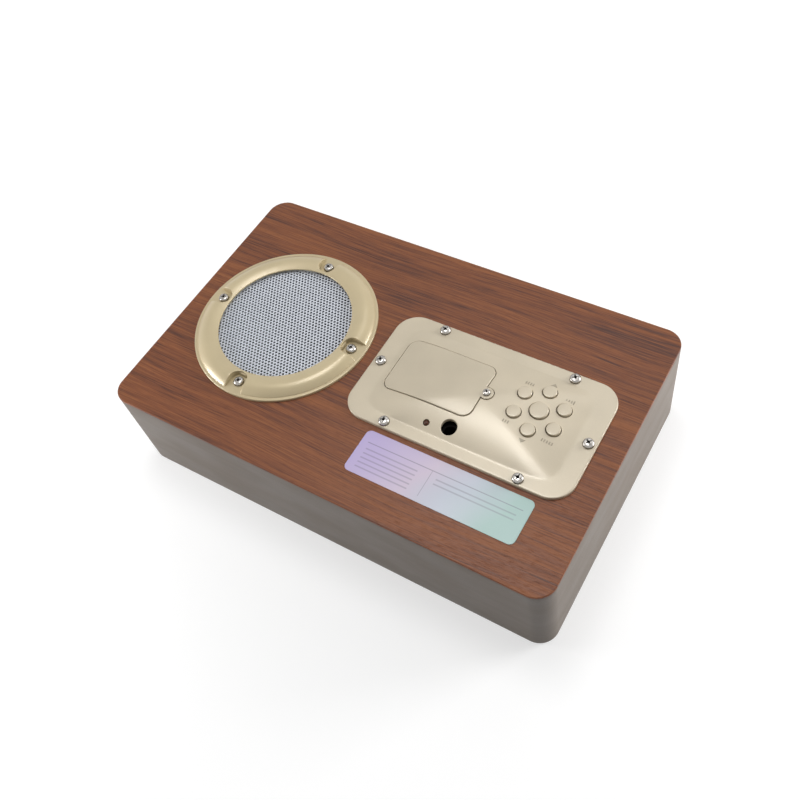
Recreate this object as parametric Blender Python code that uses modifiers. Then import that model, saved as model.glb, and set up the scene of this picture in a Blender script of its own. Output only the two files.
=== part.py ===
"""A wooden desk clock with a speaker and a control panel, lying on its face.

Metres, +Z up. X runs along the clock and Y up it as it stands in use. The front
of the clock is at z = 0 and its back, with the speaker and the panel, is on top.
"""
import math

import bmesh
import bpy

# Clearances
seat_gap = 0.0003
slip_gap = 0.0004
cut_overrun = 0.002
weld_distance = 0.00001

# Battery cover, tray and cell
cover_length = 0.0492
cover_width = 0.0319
cover_corner_radius = 0.0050
cover_proud = 0.0004
tab_radius = 0.0034
tab_reach = 0.0017
tongue_length = 0.0012
tongue_width = 0.0060
tongue_thickness = 0.0010
tongue_spacing = 0.0160
tray_wall = 0.0012
tray_ledge = 0.0014
tray_drop = 0.0090
tray_floor_thickness = 0.0012
cell_thickness = 0.0050
cell_corner_radius = 0.0020
cell_clearance = 0.0006

# Push buttons
cluster_radius = 0.0118
button_radius = 0.00375
centre_button_radius = 0.0049
button_proud = 0.0011
button_edge_round = 0.0004
button_collar_width = 0.0008
button_collar_thickness = 0.0008
button_stem_radius = 0.0018
button_travel = 0.0004

# Power socket and indicator lamp
jack_hole_radius = 0.0040
jack_radius = 0.0053
jack_collar_drop = 0.0012
jack_length = 0.0098
jack_bore_radius = 0.0032
jack_bore_depth = 0.0086
jack_pin_radius = 0.0010
jack_pin_recess = 0.0050
lamp_hole_radius = 0.00165
lamp_radius = 0.00130
lamp_flange_radius = 0.0020
lamp_flange_thickness = 0.0010
lamp_collar_radius = 0.0030
lamp_length = 0.0053

# Control panel: its raised middle holds the cover at the left and the buttons at the right
cover_end_margin = 0.0026
cover_far_margin = 0.00865
cover_button_gap = 0.01245
button_end_margin = 0.00585
button_far_margin = 0.0222
cover_jack_gap = 0.00315
jack_near_margin = 0.0025
jack_end_inset = 0.0063
lamp_jack_spacing = 0.0114
lamp_near_margin = 0.0044
panel_end_flange = 0.0100
panel_side_flange = 0.0065
panel_corner_radius = 0.0120
panel_flange_height = 0.0018
panel_wall = 0.0015
crown_height = 0.0045
crown_hip_power = 9
crown_line_shares = (0, 0.28, 0.54, 0.76, 0.91, 1)
panel_screw_end_inset = 0.0041
panel_screw_side_inset = 0.0033
panel_screw_corner_x = 0.0359
crown_length = (cover_end_margin + cover_length + cover_button_gap
                + 2 * (cluster_radius + button_radius) + button_end_margin)
crown_width = (cover_far_margin + cover_width + cover_jack_gap + 2 * jack_hole_radius
               + jack_near_margin)
panel_length = crown_length + 2 * panel_end_flange
panel_width = crown_width + 2 * panel_side_flange
board_cutout_length = crown_length + 2 * slip_gap
board_cutout_width = crown_width
panel_screw_end_x = panel_length / 2 - panel_screw_end_inset
panel_screw_corner_y = panel_width / 2 - panel_screw_side_inset

# Places on the panel, from its own middle
cover_x = -crown_length / 2 + cover_end_margin + cover_length / 2
cover_y = crown_width / 2 - cover_far_margin - cover_width / 2
cluster_x = crown_length / 2 - button_end_margin - button_radius - cluster_radius
cluster_y = crown_width / 2 - button_far_margin
jack_x = cover_x + cover_length / 2 - jack_end_inset
jack_y = -crown_width / 2 + jack_near_margin + jack_hole_radius
lamp_x = jack_x - lamp_jack_spacing
lamp_y = -crown_width / 2 + lamp_near_margin

# Speaker trim ring and grille, measured from the back face
ring_radius = 0.04965
ring_band_width = 0.01365
ring_rim_width = 0.00245
ring_inner_slope = 0.0045
ring_rim_height = 0.0014
ring_lip_height = 0.0029
ring_lip_thickness = 0.0006
ring_crown_height = 0.0047
inner_slope_shares = (0.3, 0.6, 1)
outer_slope_shares = (0.3, 0.55, 0.75, 0.9)
outer_slope_power = 0.8
pocket_width = 0.0100
ring_screw_inset = 0.00765
grille_overlap = 0.0020
grille_thickness = 0.0008
grille_skirt_thickness = 0.0008
baffle_clearance = 0.0005
ring_opening_radius = ring_radius - ring_band_width
ring_shoulder_radius = ring_radius - ring_rim_width
ring_crown_radius = ring_opening_radius + ring_inner_slope
ring_screw_circle_radius = ring_radius - ring_screw_inset
grille_radius = ring_opening_radius + grille_overlap
baffle_hole_radius = ring_opening_radius + baffle_clearance

# Loudspeaker, measured down from the top of its flange
flange_inset = 0.00365
flange_width = 0.0068
flange_thickness = 0.0014
gasket_thickness = 0.0010
basket_ledge_width = 0.0047
basket_ledge_drop = 0.0012
basket_wall = 0.0012
basket_floor_radius = 0.0250
basket_window_width = 0.0226
basket_window_height = 0.0076
basket_window_shift = 0.00095
surround_rim_width = 0.0022
surround_roll_height = 0.0020
surround_thickness = 0.0005
cone_clearance = 0.0035
cone_land = 0.0020
cone_depth = 0.0110
cone_thickness = 0.0006
dust_cap_overlap = 0.0018
dust_cap_rise = 0.0034
dust_cap_thickness = 0.0005
coil_outer_radius = 0.0129
coil_wall = 0.0005
coil_length = 0.0127
coil_neck_overlap = 0.0004
spider_inset = 0.0040
spider_below_coil_top = 0.0037
spider_wave_height = 0.0006
spider_thickness = 0.0005
spider_room = 0.0017
voice_gap = 0.0007
pole_gap = 0.0006
basket_bore_clearance = 0.0009
magnet_radius = 0.0300
magnet_bore_clearance = 0.0019
magnet_thickness = 0.0080
top_plate_inset = 0.0030
top_plate_thickness = 0.0040
yoke_plate_thickness = 0.0030
yoke_room = 0.0011
flange_radius = ring_radius - flange_inset
basket_ledge_radius = flange_radius - flange_width
basket_throat_radius = basket_ledge_radius - basket_ledge_width
surround_outer_radius = basket_ledge_radius - seat_gap
cone_outer_radius = basket_throat_radius - cone_clearance
surround_inner_radius = cone_outer_radius - cone_land
coil_inner_radius = coil_outer_radius - coil_wall
cone_neck_radius = coil_outer_radius + seat_gap
dust_cap_radius = cone_neck_radius + dust_cap_overlap
pole_radius = coil_inner_radius - pole_gap
top_plate_bore_radius = coil_outer_radius + voice_gap
basket_bore_radius = top_plate_bore_radius + basket_bore_clearance
magnet_bore_radius = top_plate_bore_radius + magnet_bore_clearance
top_plate_radius = magnet_radius - top_plate_inset
spider_outer_radius = basket_floor_radius - spider_inset
coil_top_drop = basket_ledge_drop + cone_depth - coil_neck_overlap
coil_bottom_drop = coil_top_drop + coil_length
spider_drop = coil_top_drop + spider_below_coil_top
basket_floor_drop = spider_drop + spider_room
motor_depth = (basket_wall + top_plate_thickness + magnet_thickness + yoke_plate_thickness
               + 3 * seat_gap)

# Display behind the front window
digit_length = 0.0320
digit_height = 0.0480
digit_gap = 0.0040
digit_chamfer = 0.0010
colon_length = 0.0080
colon_height = 0.0300
colon_room = 0.0054
window_end_margin = 0.0106
window_side_margin = 0.0070
window_corner_radius = 0.0030
lens_thickness = 0.0020
lens_recess = 0.0002
display_board_thickness = 0.0016
display_board_overlap = 0.0020
digit_pitch = digit_length + digit_gap
inner_digit_x = digit_pitch / 2 + colon_room
outer_digit_x = inner_digit_x + digit_pitch
window_length = 2 * outer_digit_x + digit_length + 2 * window_end_margin
window_height = digit_height + 2 * window_side_margin

# Case: four lacquered walls, a front board, a back board and the walnut laminate.
# Its length and depth follow what it holds.
left_margin = 0.01015
ring_panel_gap = 0.00645
right_margin = 0.0129
case_height = 0.1556
case_corner_radius = 0.0100
wall_thickness = 0.0090
inner_corner_radius = 0.0030
laminate_thickness = 0.0012
back_board_thickness = 0.0060
front_board_thickness = 0.0090
front_recess = 0.0010
corner_block_side = 0.0140
case_length = left_margin + 2 * ring_radius + ring_panel_gap + panel_length + right_margin
speaker_x = -case_length / 2 + left_margin + ring_radius
speaker_y = 0.0
panel_x = case_length / 2 - right_margin - panel_length / 2
panel_y = 0.0

# Screws
screw_head_radius = 0.0028
screw_head_height = 0.0019
screw_shank_radius = 0.00145
ring_screw_length = 0.0115
panel_screw_length = 0.0080
cross_width = 0.0007
cross_length = 0.0030
cross_depth = 0.0012
cover_screw_head_radius = 0.0019
cover_screw_head_height = 0.0012
cover_screw_shank_radius = 0.0010
cover_screw_length = 0.0050
cover_screw_cross_length = 0.0021
head_dome_shares = (0, 0.45, 0.75, 0.93)
head_fall_share = 0.45
head_side_share = 0.35
screw_hole_radius = screw_shank_radius + seat_gap

# Circuit board and key mat under the buttons
board_drop = 0.0060
board_thickness = 0.0016
board_reach_left = 0.0206
board_reach_right = 0.0200
board_half_width = 0.0245
board_corner_radius = 0.0010
mat_length = 0.0280
mat_width = 0.0300
mat_thickness = 0.0012
mat_corner_radius = 0.0030
dome_radius = 0.0026
dome_height = 0.0028
boss_radius = 0.0024
boss_pin_radius = 0.0011
boss_pin_length = 0.0030
boss_inset = 0.0029
board_left = cluster_x - board_reach_left
board_right = cluster_x + board_reach_right

# Rating label, left blank
label_shift = 0.0037
label_panel_gap = 0.0029
label_length = 0.0895
label_width = 0.0238
label_corner_radius = 0.0028
label_thickness = 0.0002
label_gap = 0.0001
label_x = panel_x + label_shift
label_y = panel_y - panel_width / 2 - label_panel_gap - label_width / 2

# Leads inside the case
speaker_lead_radius = 0.0011
display_lead_radius = 0.0015
lead_sides = 2

# Fineness of round shapes
corner_steps = 5
small_steps = 12
button_steps = 18
medium_steps = 24
large_steps = 48
pocket_steps = 8
tab_steps = 10
roll_steps = 4
wave_steps = 4
lamp_steps = 4
cap_steps = 3

# Levels, from the front at 0 up to the back face
front_inner_face = front_recess + front_board_thickness
display_back = front_inner_face + seat_gap + display_board_thickness
flange_top = display_back + yoke_room + motor_depth + basket_floor_drop
board_underside = flange_top + gasket_thickness + 2 * seat_gap
wall_top = board_underside + back_board_thickness
back_face = wall_top + seat_gap + laminate_thickness
ledge_level = flange_top - basket_ledge_drop
surround_level = ledge_level + seat_gap
cone_level = surround_level - seat_gap
basket_floor_level = flange_top - basket_floor_drop
plate_top = basket_floor_level - basket_wall - seat_gap
magnet_top = plate_top - top_plate_thickness - seat_gap
yoke_top = magnet_top - magnet_thickness - seat_gap
panel_top = back_face + panel_flange_height
control_board_top = back_face - board_drop
mat_base = control_board_top + seat_gap
stem_bottom = mat_base + mat_thickness + dome_height + button_travel + seat_gap / 2

inner_length = case_length - 2 * wall_thickness
inner_height = case_height - 2 * wall_thickness
inset_length = inner_length - 2 * seat_gap
inset_height = inner_height - 2 * seat_gap


def clear_scene():
    """Start from an empty scene."""
    for item in list(bpy.data.objects):
        bpy.data.objects.remove(item, do_unlink=True)


clear_scene()
parts = bpy.data.collections.new("desk_clock")
cutters = bpy.data.collections.new("cutters")
bpy.context.scene.collection.children.link(parts)
bpy.context.scene.collection.children.link(cutters)


def finish(name, colour, roughness, metallic=0.0):
    """A plain Principled finish."""
    surface = bpy.data.materials.new(name)
    surface.use_nodes = True
    shader = surface.node_tree.nodes["Principled BSDF"]
    shader.inputs["Base Color"].default_value = (*colour, 1)
    shader.inputs["Roughness"].default_value = roughness
    shader.inputs["Metallic"].default_value = metallic
    return surface


walnut = finish("walnut_laminate", (0.26, 0.10, 0.05), 0.38)
lacquer = finish("taupe_lacquer", (0.20, 0.17, 0.14), 0.35)
fibreboard = finish("fibreboard", (0.42, 0.28, 0.16), 0.90)
pine = finish("pine", (0.62, 0.44, 0.26), 0.80)
smoked_acrylic = finish("smoked_acrylic", (0.02, 0.02, 0.02), 0.08)
gold_plastic = finish("gold_plastic", (0.66, 0.54, 0.36), 0.40, 0.2)
white_steel = finish("white_painted_steel", (0.62, 0.63, 0.65), 0.45)
nickel = finish("nickel_plate", (0.75, 0.74, 0.72), 0.18, 1.0)
black_plastic = finish("black_plastic", (0.02, 0.02, 0.02), 0.50)
black_steel = finish("black_steel", (0.03, 0.03, 0.03), 0.45, 0.6)
bright_steel = finish("bright_steel", (0.60, 0.60, 0.60), 0.30, 1.0)
ferrite = finish("ferrite", (0.06, 0.06, 0.06), 0.70)
paper_cone = finish("paper_cone", (0.03, 0.03, 0.03), 0.85)
rubber = finish("rubber", (0.02, 0.02, 0.02), 0.70)
amber_cloth = finish("amber_cloth", (0.55, 0.33, 0.10), 0.85)
copper = finish("copper", (0.72, 0.35, 0.18), 0.30, 1.0)
circuit_green = finish("circuit_green", (0.02, 0.16, 0.06), 0.50)
silicone = finish("grey_silicone", (0.45, 0.45, 0.44), 0.70)
pale_foil = finish("battery_foil", (0.55, 0.57, 0.60), 0.35, 0.5)
lamp_glass = finish("lamp_glass", (0.30, 0.16, 0.08), 0.15)
label_film = finish("label_film", (0.66, 0.64, 0.76), 0.30)
digit_face = finish("digit_face", (0.55, 0.57, 0.56), 0.40)
lead_skin = finish("lead_skin", (0.05, 0.05, 0.05), 0.50)


def add_object(name, mesh, surface, folder=parts):
    """Put a mesh in a collection, as a piece or as a hidden cutter."""
    item = bpy.data.objects.new(name, mesh)
    folder.objects.link(item)
    if surface is not None:
        mesh.materials.clear()
        mesh.materials.append(surface)
    if folder is cutters:
        item.hide_render = True
        item.display_type = "WIRE"
    return item


def rounded_rectangle(length, width, radius, centre=(0, 0)):
    """Outline of a rectangle with round corners, counter-clockwise."""
    reach_x = length / 2 - radius
    reach_y = width / 2 - radius
    outline = []
    for quarter, (side_x, side_y) in enumerate(((1, 1), (-1, 1), (-1, -1), (1, -1))):
        for step in range(corner_steps + 1):
            angle = (quarter + step / corner_steps) * math.pi / 2
            x = centre[0] + side_x * reach_x + radius * math.cos(angle)
            y = centre[1] + side_y * reach_y + radius * math.sin(angle)
            outline.append((x, y))
    return outline


def circle(radius, centre, steps):
    """Outline of a circle."""
    turns = [2 * math.pi * (step + 0.5) / steps for step in range(steps)]
    return [(centre[0] + radius * math.cos(a), centre[1] + radius * math.sin(a)) for a in turns]


def plate(name, outlines, bottom, top, surface, folder=parts):
    """A flat plate from 2D outlines: an outline inside another one is a hole."""
    curve = bpy.data.curves.new(name + "_outline", "CURVE")
    curve.dimensions = "2D"
    curve.fill_mode = "BOTH"
    curve.extrude = (top - bottom) / 2
    for outline in outlines:
        spline = curve.splines.new("POLY")
        spline.points.add(len(outline) - 1)
        for point, (x, y) in zip(spline.points, outline):
            point.co = (x, y, 0, 1)
        spline.use_cyclic_u = True
    guide = bpy.data.objects.new(name + "_guide", curve)
    guide.location.z = (top + bottom) / 2
    parts.objects.link(guide)
    item = add_object(name, solid_from_curve(guide), surface, folder)
    item.matrix_world = guide.matrix_world
    bpy.data.objects.remove(guide, do_unlink=True)
    return item


def solid_from_curve(guide):
    """The closed mesh of a curve object, with its caps welded on."""
    bpy.context.view_layer.update()
    scene_state = bpy.context.evaluated_depsgraph_get()
    mesh = bpy.data.meshes.new_from_object(guide.evaluated_get(scene_state))
    shape = bmesh.new()
    shape.from_mesh(mesh)
    bmesh.ops.remove_doubles(shape, verts=shape.verts, dist=weld_distance)
    bmesh.ops.recalc_face_normals(shape, faces=shape.faces)
    shape.to_mesh(mesh)
    shape.free()
    return mesh


def block(name, size, centre, surface, folder=parts):
    """A box from its full size and its middle."""
    shape = bmesh.new()
    bmesh.ops.create_cube(shape, size=1)
    bmesh.ops.scale(shape, vec=size, verts=shape.verts)
    mesh = bpy.data.meshes.new(name)
    shape.to_mesh(mesh)
    shape.free()
    item = add_object(name, mesh, surface, folder)
    item.location = centre
    return item


def turned(name, profile, centre, steps, surface, folder=parts, ring=False):
    """A turned shape: (radius, height) points run down its outer side."""
    mesh = bpy.data.meshes.new(name)
    links = [(index, index + 1) for index in range(len(profile) - 1)]
    if ring:
        links.append((len(profile) - 1, 0))
    mesh.from_pydata([(radius, 0, height) for radius, height in profile], links, [])
    item = add_object(name, mesh, surface, folder)
    item.location = centre
    turn = item.modifiers.new("turn", "SCREW")
    turn.steps = steps
    turn.render_steps = steps
    turn.use_merge_vertices = True
    turn.merge_threshold = weld_distance
    turn.use_smooth_shade = True
    return item


def cut(item, tool, operation="DIFFERENCE"):
    """Cut a piece with another one, or join them."""
    change = item.modifiers.new(operation.lower(), "BOOLEAN")
    change.operation = operation
    change.solver = "EXACT"
    change.object = tool


def settled(item, name):
    """A plain mesh of a piece as its modifiers leave it."""
    bpy.context.view_layer.update()
    scene_state = bpy.context.evaluated_depsgraph_get()
    mesh = bpy.data.meshes.new_from_object(item.evaluated_get(scene_state))
    mesh.name = name
    return mesh


def repeated(name, mesh, places, surface, folder=cutters):
    """Copies of one mesh at several places, as one object of separate bodies."""
    shape = bmesh.new()
    for place in places:
        start = len(shape.verts)
        shape.from_mesh(mesh)
        shape.verts.ensure_lookup_table()
        bmesh.ops.translate(shape, vec=place, verts=shape.verts[start:])
    joined = bpy.data.meshes.new(name)
    shape.to_mesh(joined)
    shape.free()
    return add_object(name, joined, surface, folder)


def tube(name, route, radius, surface):
    """A lead along a smooth route."""
    curve = bpy.data.curves.new(name, "CURVE")
    curve.dimensions = "3D"
    curve.bevel_depth = radius
    curve.bevel_resolution = lead_sides
    curve.use_fill_caps = True
    spline = curve.splines.new("POLY")
    points = smooth_route(route)
    spline.points.add(len(points) - 1)
    for point, place in zip(spline.points, points):
        point.co = (*place, 1)
    guide = bpy.data.objects.new(name + "_guide", curve)
    parts.objects.link(guide)
    item = add_object(name, solid_from_curve(guide), surface)
    bpy.data.objects.remove(guide, do_unlink=True)
    return item


def smooth_route(route, steps=5):
    """Points of a smooth curve through the route's own points."""
    ends = [route[0]] + list(route) + [route[-1]]
    points = []
    for before, start, end, after in zip(ends, ends[1:], ends[2:], ends[3:]):
        for step in range(steps):
            t = step / steps
            points.append(tuple(
                start[k] + t * (end[k] - before[k]) / 2
                + t * t * (before[k] - 5 * start[k] / 2 + 2 * end[k] - after[k] / 2)
                + t * t * t * (3 * start[k] - 3 * end[k] + after[k] - before[k]) / 2
                for k in range(3)))
    points.append(route[-1])
    return points


def crown_rise(x, y):
    """Height of the panel's crown over its flange, at a place on the panel."""
    share_x = abs(x) / (crown_length / 2)
    share_y = abs(y) / (crown_width / 2)
    reach = (share_x ** crown_hip_power + share_y ** crown_hip_power) ** (1 / crown_hip_power)
    return crown_height * max(0, 1 - reach * reach)


def lowest_rise(x, y, radius):
    """Lowest height of the crown round a place on the panel."""
    rim = circle(radius, (x, y), small_steps)
    return min(crown_rise(*place) for place in rim)


def crown_lines(crown_size, full_size):
    """Places of the crown's grid lines along one side."""
    half = [share * crown_size / 2 for share in crown_line_shares]
    half.append(full_size / 2 + cut_overrun)
    return [-place for place in reversed(half[1:])] + half


def crowned(name, rise, thickness, surface, folder=parts, floor=None):
    """A sheet that follows the panel's crown, or a block with a flat floor."""
    lines_x = crown_lines(crown_length, panel_length)
    lines_y = crown_lines(crown_width, panel_width)
    shape = bmesh.new()
    bmesh.ops.create_grid(shape, x_segments=len(lines_x) - 1, y_segments=len(lines_y) - 1, size=1)
    for vert in shape.verts:
        column = round((vert.co.x + 1) / 2 * (len(lines_x) - 1))
        row = round((vert.co.y + 1) / 2 * (len(lines_y) - 1))
        x = lines_x[column]
        y = lines_y[row]
        vert.co = (panel_x + x, panel_y + y, panel_top + rise + crown_rise(x, y))
    bmesh.ops.triangulate(shape, faces=shape.faces)
    lower = bmesh.ops.extrude_face_region(shape, geom=shape.faces[:])["geom"]
    for vert in [item for item in lower if isinstance(item, bmesh.types.BMVert)]:
        vert.co.z = floor if floor is not None else vert.co.z - thickness
    bmesh.ops.recalc_face_normals(shape, faces=shape.faces)
    mesh = bpy.data.meshes.new(name)
    shape.to_mesh(mesh)
    shape.free()
    return add_object(name, mesh, surface, folder)


def on_panel(x, y, z=0):
    """A place on the panel in the clock's own frame."""
    return (panel_x + x, panel_y + y, z)


def shade_round(item):
    """Smooth shading with crisp edges."""
    item.data.shade_smooth()
    item.data.set_sharp_from_angle(angle=math.radians(30))


ring_screw_places = [(speaker_x + ring_screw_circle_radius * math.cos(quarter * math.pi / 2),
                      speaker_y + ring_screw_circle_radius * math.sin(quarter * math.pi / 2))
                     for quarter in range(4)]
panel_screw_places = [(-panel_screw_corner_x, panel_screw_corner_y),
                      (panel_screw_corner_x, panel_screw_corner_y),
                      (-panel_screw_end_x, 0),
                      (panel_screw_end_x, 0),
                      (-panel_screw_corner_x, -panel_screw_corner_y),
                      (panel_screw_corner_x, -panel_screw_corner_y)]


def screw_holes():
    """Clearance holes for the screws of the ring and the panel."""
    ring_holes = [circle(screw_hole_radius, place, small_steps) for place in ring_screw_places]
    panel_holes = [circle(screw_hole_radius, on_panel(*place)[:2], small_steps)
                   for place in panel_screw_places]
    return ring_holes + panel_holes


def build_case():
    """The lacquered walls, the boards, the laminate and the corner blocks."""
    outer = rounded_rectangle(case_length, case_height, case_corner_radius)
    inner = rounded_rectangle(inner_length, inner_height, inner_corner_radius)
    inset = rounded_rectangle(inset_length, inset_height, inner_corner_radius)
    window = rounded_rectangle(window_length, window_height, window_corner_radius)
    baffle_hole = circle(baffle_hole_radius, (speaker_x, speaker_y), large_steps)
    panel_hole = rounded_rectangle(board_cutout_length, board_cutout_width, inner_corner_radius,
                                   (panel_x, panel_y))
    plate("cabinet_frame", [outer, inner], 0, wall_top, lacquer)
    plate("front_board", [inset, window], front_recess, front_inner_face, walnut)
    plate("back_board", [inset, baffle_hole, panel_hole, *screw_holes()],
          board_underside, wall_top, fibreboard)
    plate("back_laminate", [outer, baffle_hole, panel_hole, *screw_holes()],
          back_face - laminate_thickness, back_face, walnut)
    block_height = board_underside - front_inner_face - 2 * seat_gap
    block_x = inset_length / 2 - corner_block_side / 2 - inner_corner_radius
    block_y = inset_height / 2 - corner_block_side / 2
    for number, (side_x, side_y) in enumerate(((-1, -1), (1, -1), (1, 1), (-1, 1)), 1):
        block("corner_block_%d" % number, (corner_block_side, corner_block_side, block_height),
              (side_x * block_x, side_y * block_y, (board_underside + front_inner_face) / 2), pine)


def build_display():
    """The smoked window, four digit modules, the colon and their board."""
    lens_back = front_recess + lens_recess + lens_thickness
    lens = rounded_rectangle(window_length - 2 * seat_gap, window_height - 2 * seat_gap,
                             window_corner_radius)
    plate("display_lens", [lens], front_recess + lens_recess, lens_back, smoked_acrylic)
    digit_front = lens_back + seat_gap
    digit_middle = (digit_front + front_inner_face) / 2
    digit_depth = front_inner_face - digit_front
    for number, x in enumerate((-outer_digit_x, -inner_digit_x, inner_digit_x, outer_digit_x), 1):
        digit = block("display_digit_%d" % number, (digit_length, digit_height, digit_depth),
                      (x, 0, digit_middle), digit_face)
        soften = digit.modifiers.new("edge", "BEVEL")
        soften.width = digit_chamfer
        soften.segments = 1
    block("display_colon", (colon_length, colon_height, digit_depth), (0, 0, digit_middle), digit_face)
    board = rounded_rectangle(window_length + 2 * display_board_overlap,
                              window_height + 2 * display_board_overlap, window_corner_radius)
    board_front = front_inner_face + seat_gap
    plate("display_board", [board], board_front, board_front + display_board_thickness, circuit_green)


def ring_profile():
    """Section of the trim ring: radius and height over the back face."""
    rise = ring_crown_height - ring_lip_height
    lip = [(ring_opening_radius, ring_lip_height)]
    inner = [(ring_opening_radius + share * (ring_crown_radius - ring_opening_radius),
              ring_lip_height + rise * math.sin(share * math.pi / 2))
             for share in inner_slope_shares]
    fall = ring_crown_height - ring_rim_height
    outer = [(ring_crown_radius + share * (ring_shoulder_radius - ring_crown_radius),
              ring_rim_height + fall * math.cos(share * math.pi / 2) ** outer_slope_power)
             for share in outer_slope_shares]
    rim = [(ring_shoulder_radius, ring_rim_height),
           (ring_radius, ring_rim_height),
           (ring_radius, seat_gap)]
    rebate_radius = grille_radius + seat_gap
    rebate_top = ring_lip_height - ring_lip_thickness
    under = [(rebate_radius, seat_gap), (rebate_radius, rebate_top), (ring_opening_radius, rebate_top)]
    return lip + inner + outer + rim + under


def build_speaker_trim():
    """The gold ring with its four screw pockets, and the grille it holds."""
    centre = (speaker_x, speaker_y, back_face)
    ring = turned("speaker_ring", ring_profile(), centre, large_steps, gold_plastic, ring=True)
    pocket_end = ring_shoulder_radius + cut_overrun - ring_screw_circle_radius
    pockets = []
    for quarter in range(4):
        turn = quarter * math.pi / 2
        arc = [(pocket_width / 2 * math.cos(a), pocket_width / 2 * math.sin(a))
               for a in [math.pi / 2 + math.pi * step / pocket_steps for step in range(pocket_steps + 1)]]
        shape = arc + [(pocket_end, -pocket_width / 2), (pocket_end, pocket_width / 2)]
        pockets.append([(speaker_x + (ring_screw_circle_radius + x) * math.cos(turn) - y * math.sin(turn),
                         speaker_y + (ring_screw_circle_radius + x) * math.sin(turn) + y * math.cos(turn))
                        for x, y in shape])
    floor = back_face + ring_rim_height
    pocket_tool = plate("ring_pockets", pockets, floor, floor + ring_crown_height, None, cutters)
    cut(ring, pocket_tool)
    holes = [circle(screw_hole_radius, place, small_steps) for place in ring_screw_places]
    cut(ring, plate("ring_holes", holes, back_face - cut_overrun, floor + cut_overrun, None, cutters))

    top = ring_lip_height - ring_lip_thickness - seat_gap
    skirt = grille_radius - grille_skirt_thickness
    grille = [(0, top), (grille_radius, top), (grille_radius, seat_gap), (skirt, seat_gap),
              (skirt, top - grille_thickness), (0, top - grille_thickness)]
    turned("speaker_grille", grille, centre, large_steps, white_steel)


def basket_profile():
    """Section of the speaker frame: flange, ledge, cone-shaped wall and floor."""
    ledge = ledge_level - flange_top
    floor = -basket_floor_drop
    step_radius = spider_outer_radius + seat_gap + basket_wall
    spider_ledge = -spider_drop - seat_gap
    return [(basket_ledge_radius, 0),
            (flange_radius, 0),
            (flange_radius, -flange_thickness),
            (basket_throat_radius + 2 * basket_wall, ledge - 2 * basket_wall),
            (basket_floor_radius + basket_wall, spider_ledge),
            (basket_floor_radius, floor - basket_wall),
            (basket_bore_radius, floor - basket_wall),
            (basket_bore_radius, floor),
            (spider_outer_radius - basket_wall, floor),
            (spider_outer_radius - basket_wall, spider_ledge),
            (step_radius, spider_ledge),
            (basket_throat_radius, ledge),
            (basket_ledge_radius, ledge)]


def arc_band(inner, outer, level, height, thickness):
    """A thin half-round roll between two radii, as a closed section."""
    middle = (inner + outer) / 2
    reach = (outer - inner) / 2
    turns = [math.pi * step / roll_steps for step in range(roll_steps + 1)]
    top = [(middle - reach * math.cos(a), level + thickness + height * math.sin(a)) for a in turns]
    under = [(radius, z - thickness) for radius, z in reversed(top)]
    return top, under


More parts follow.
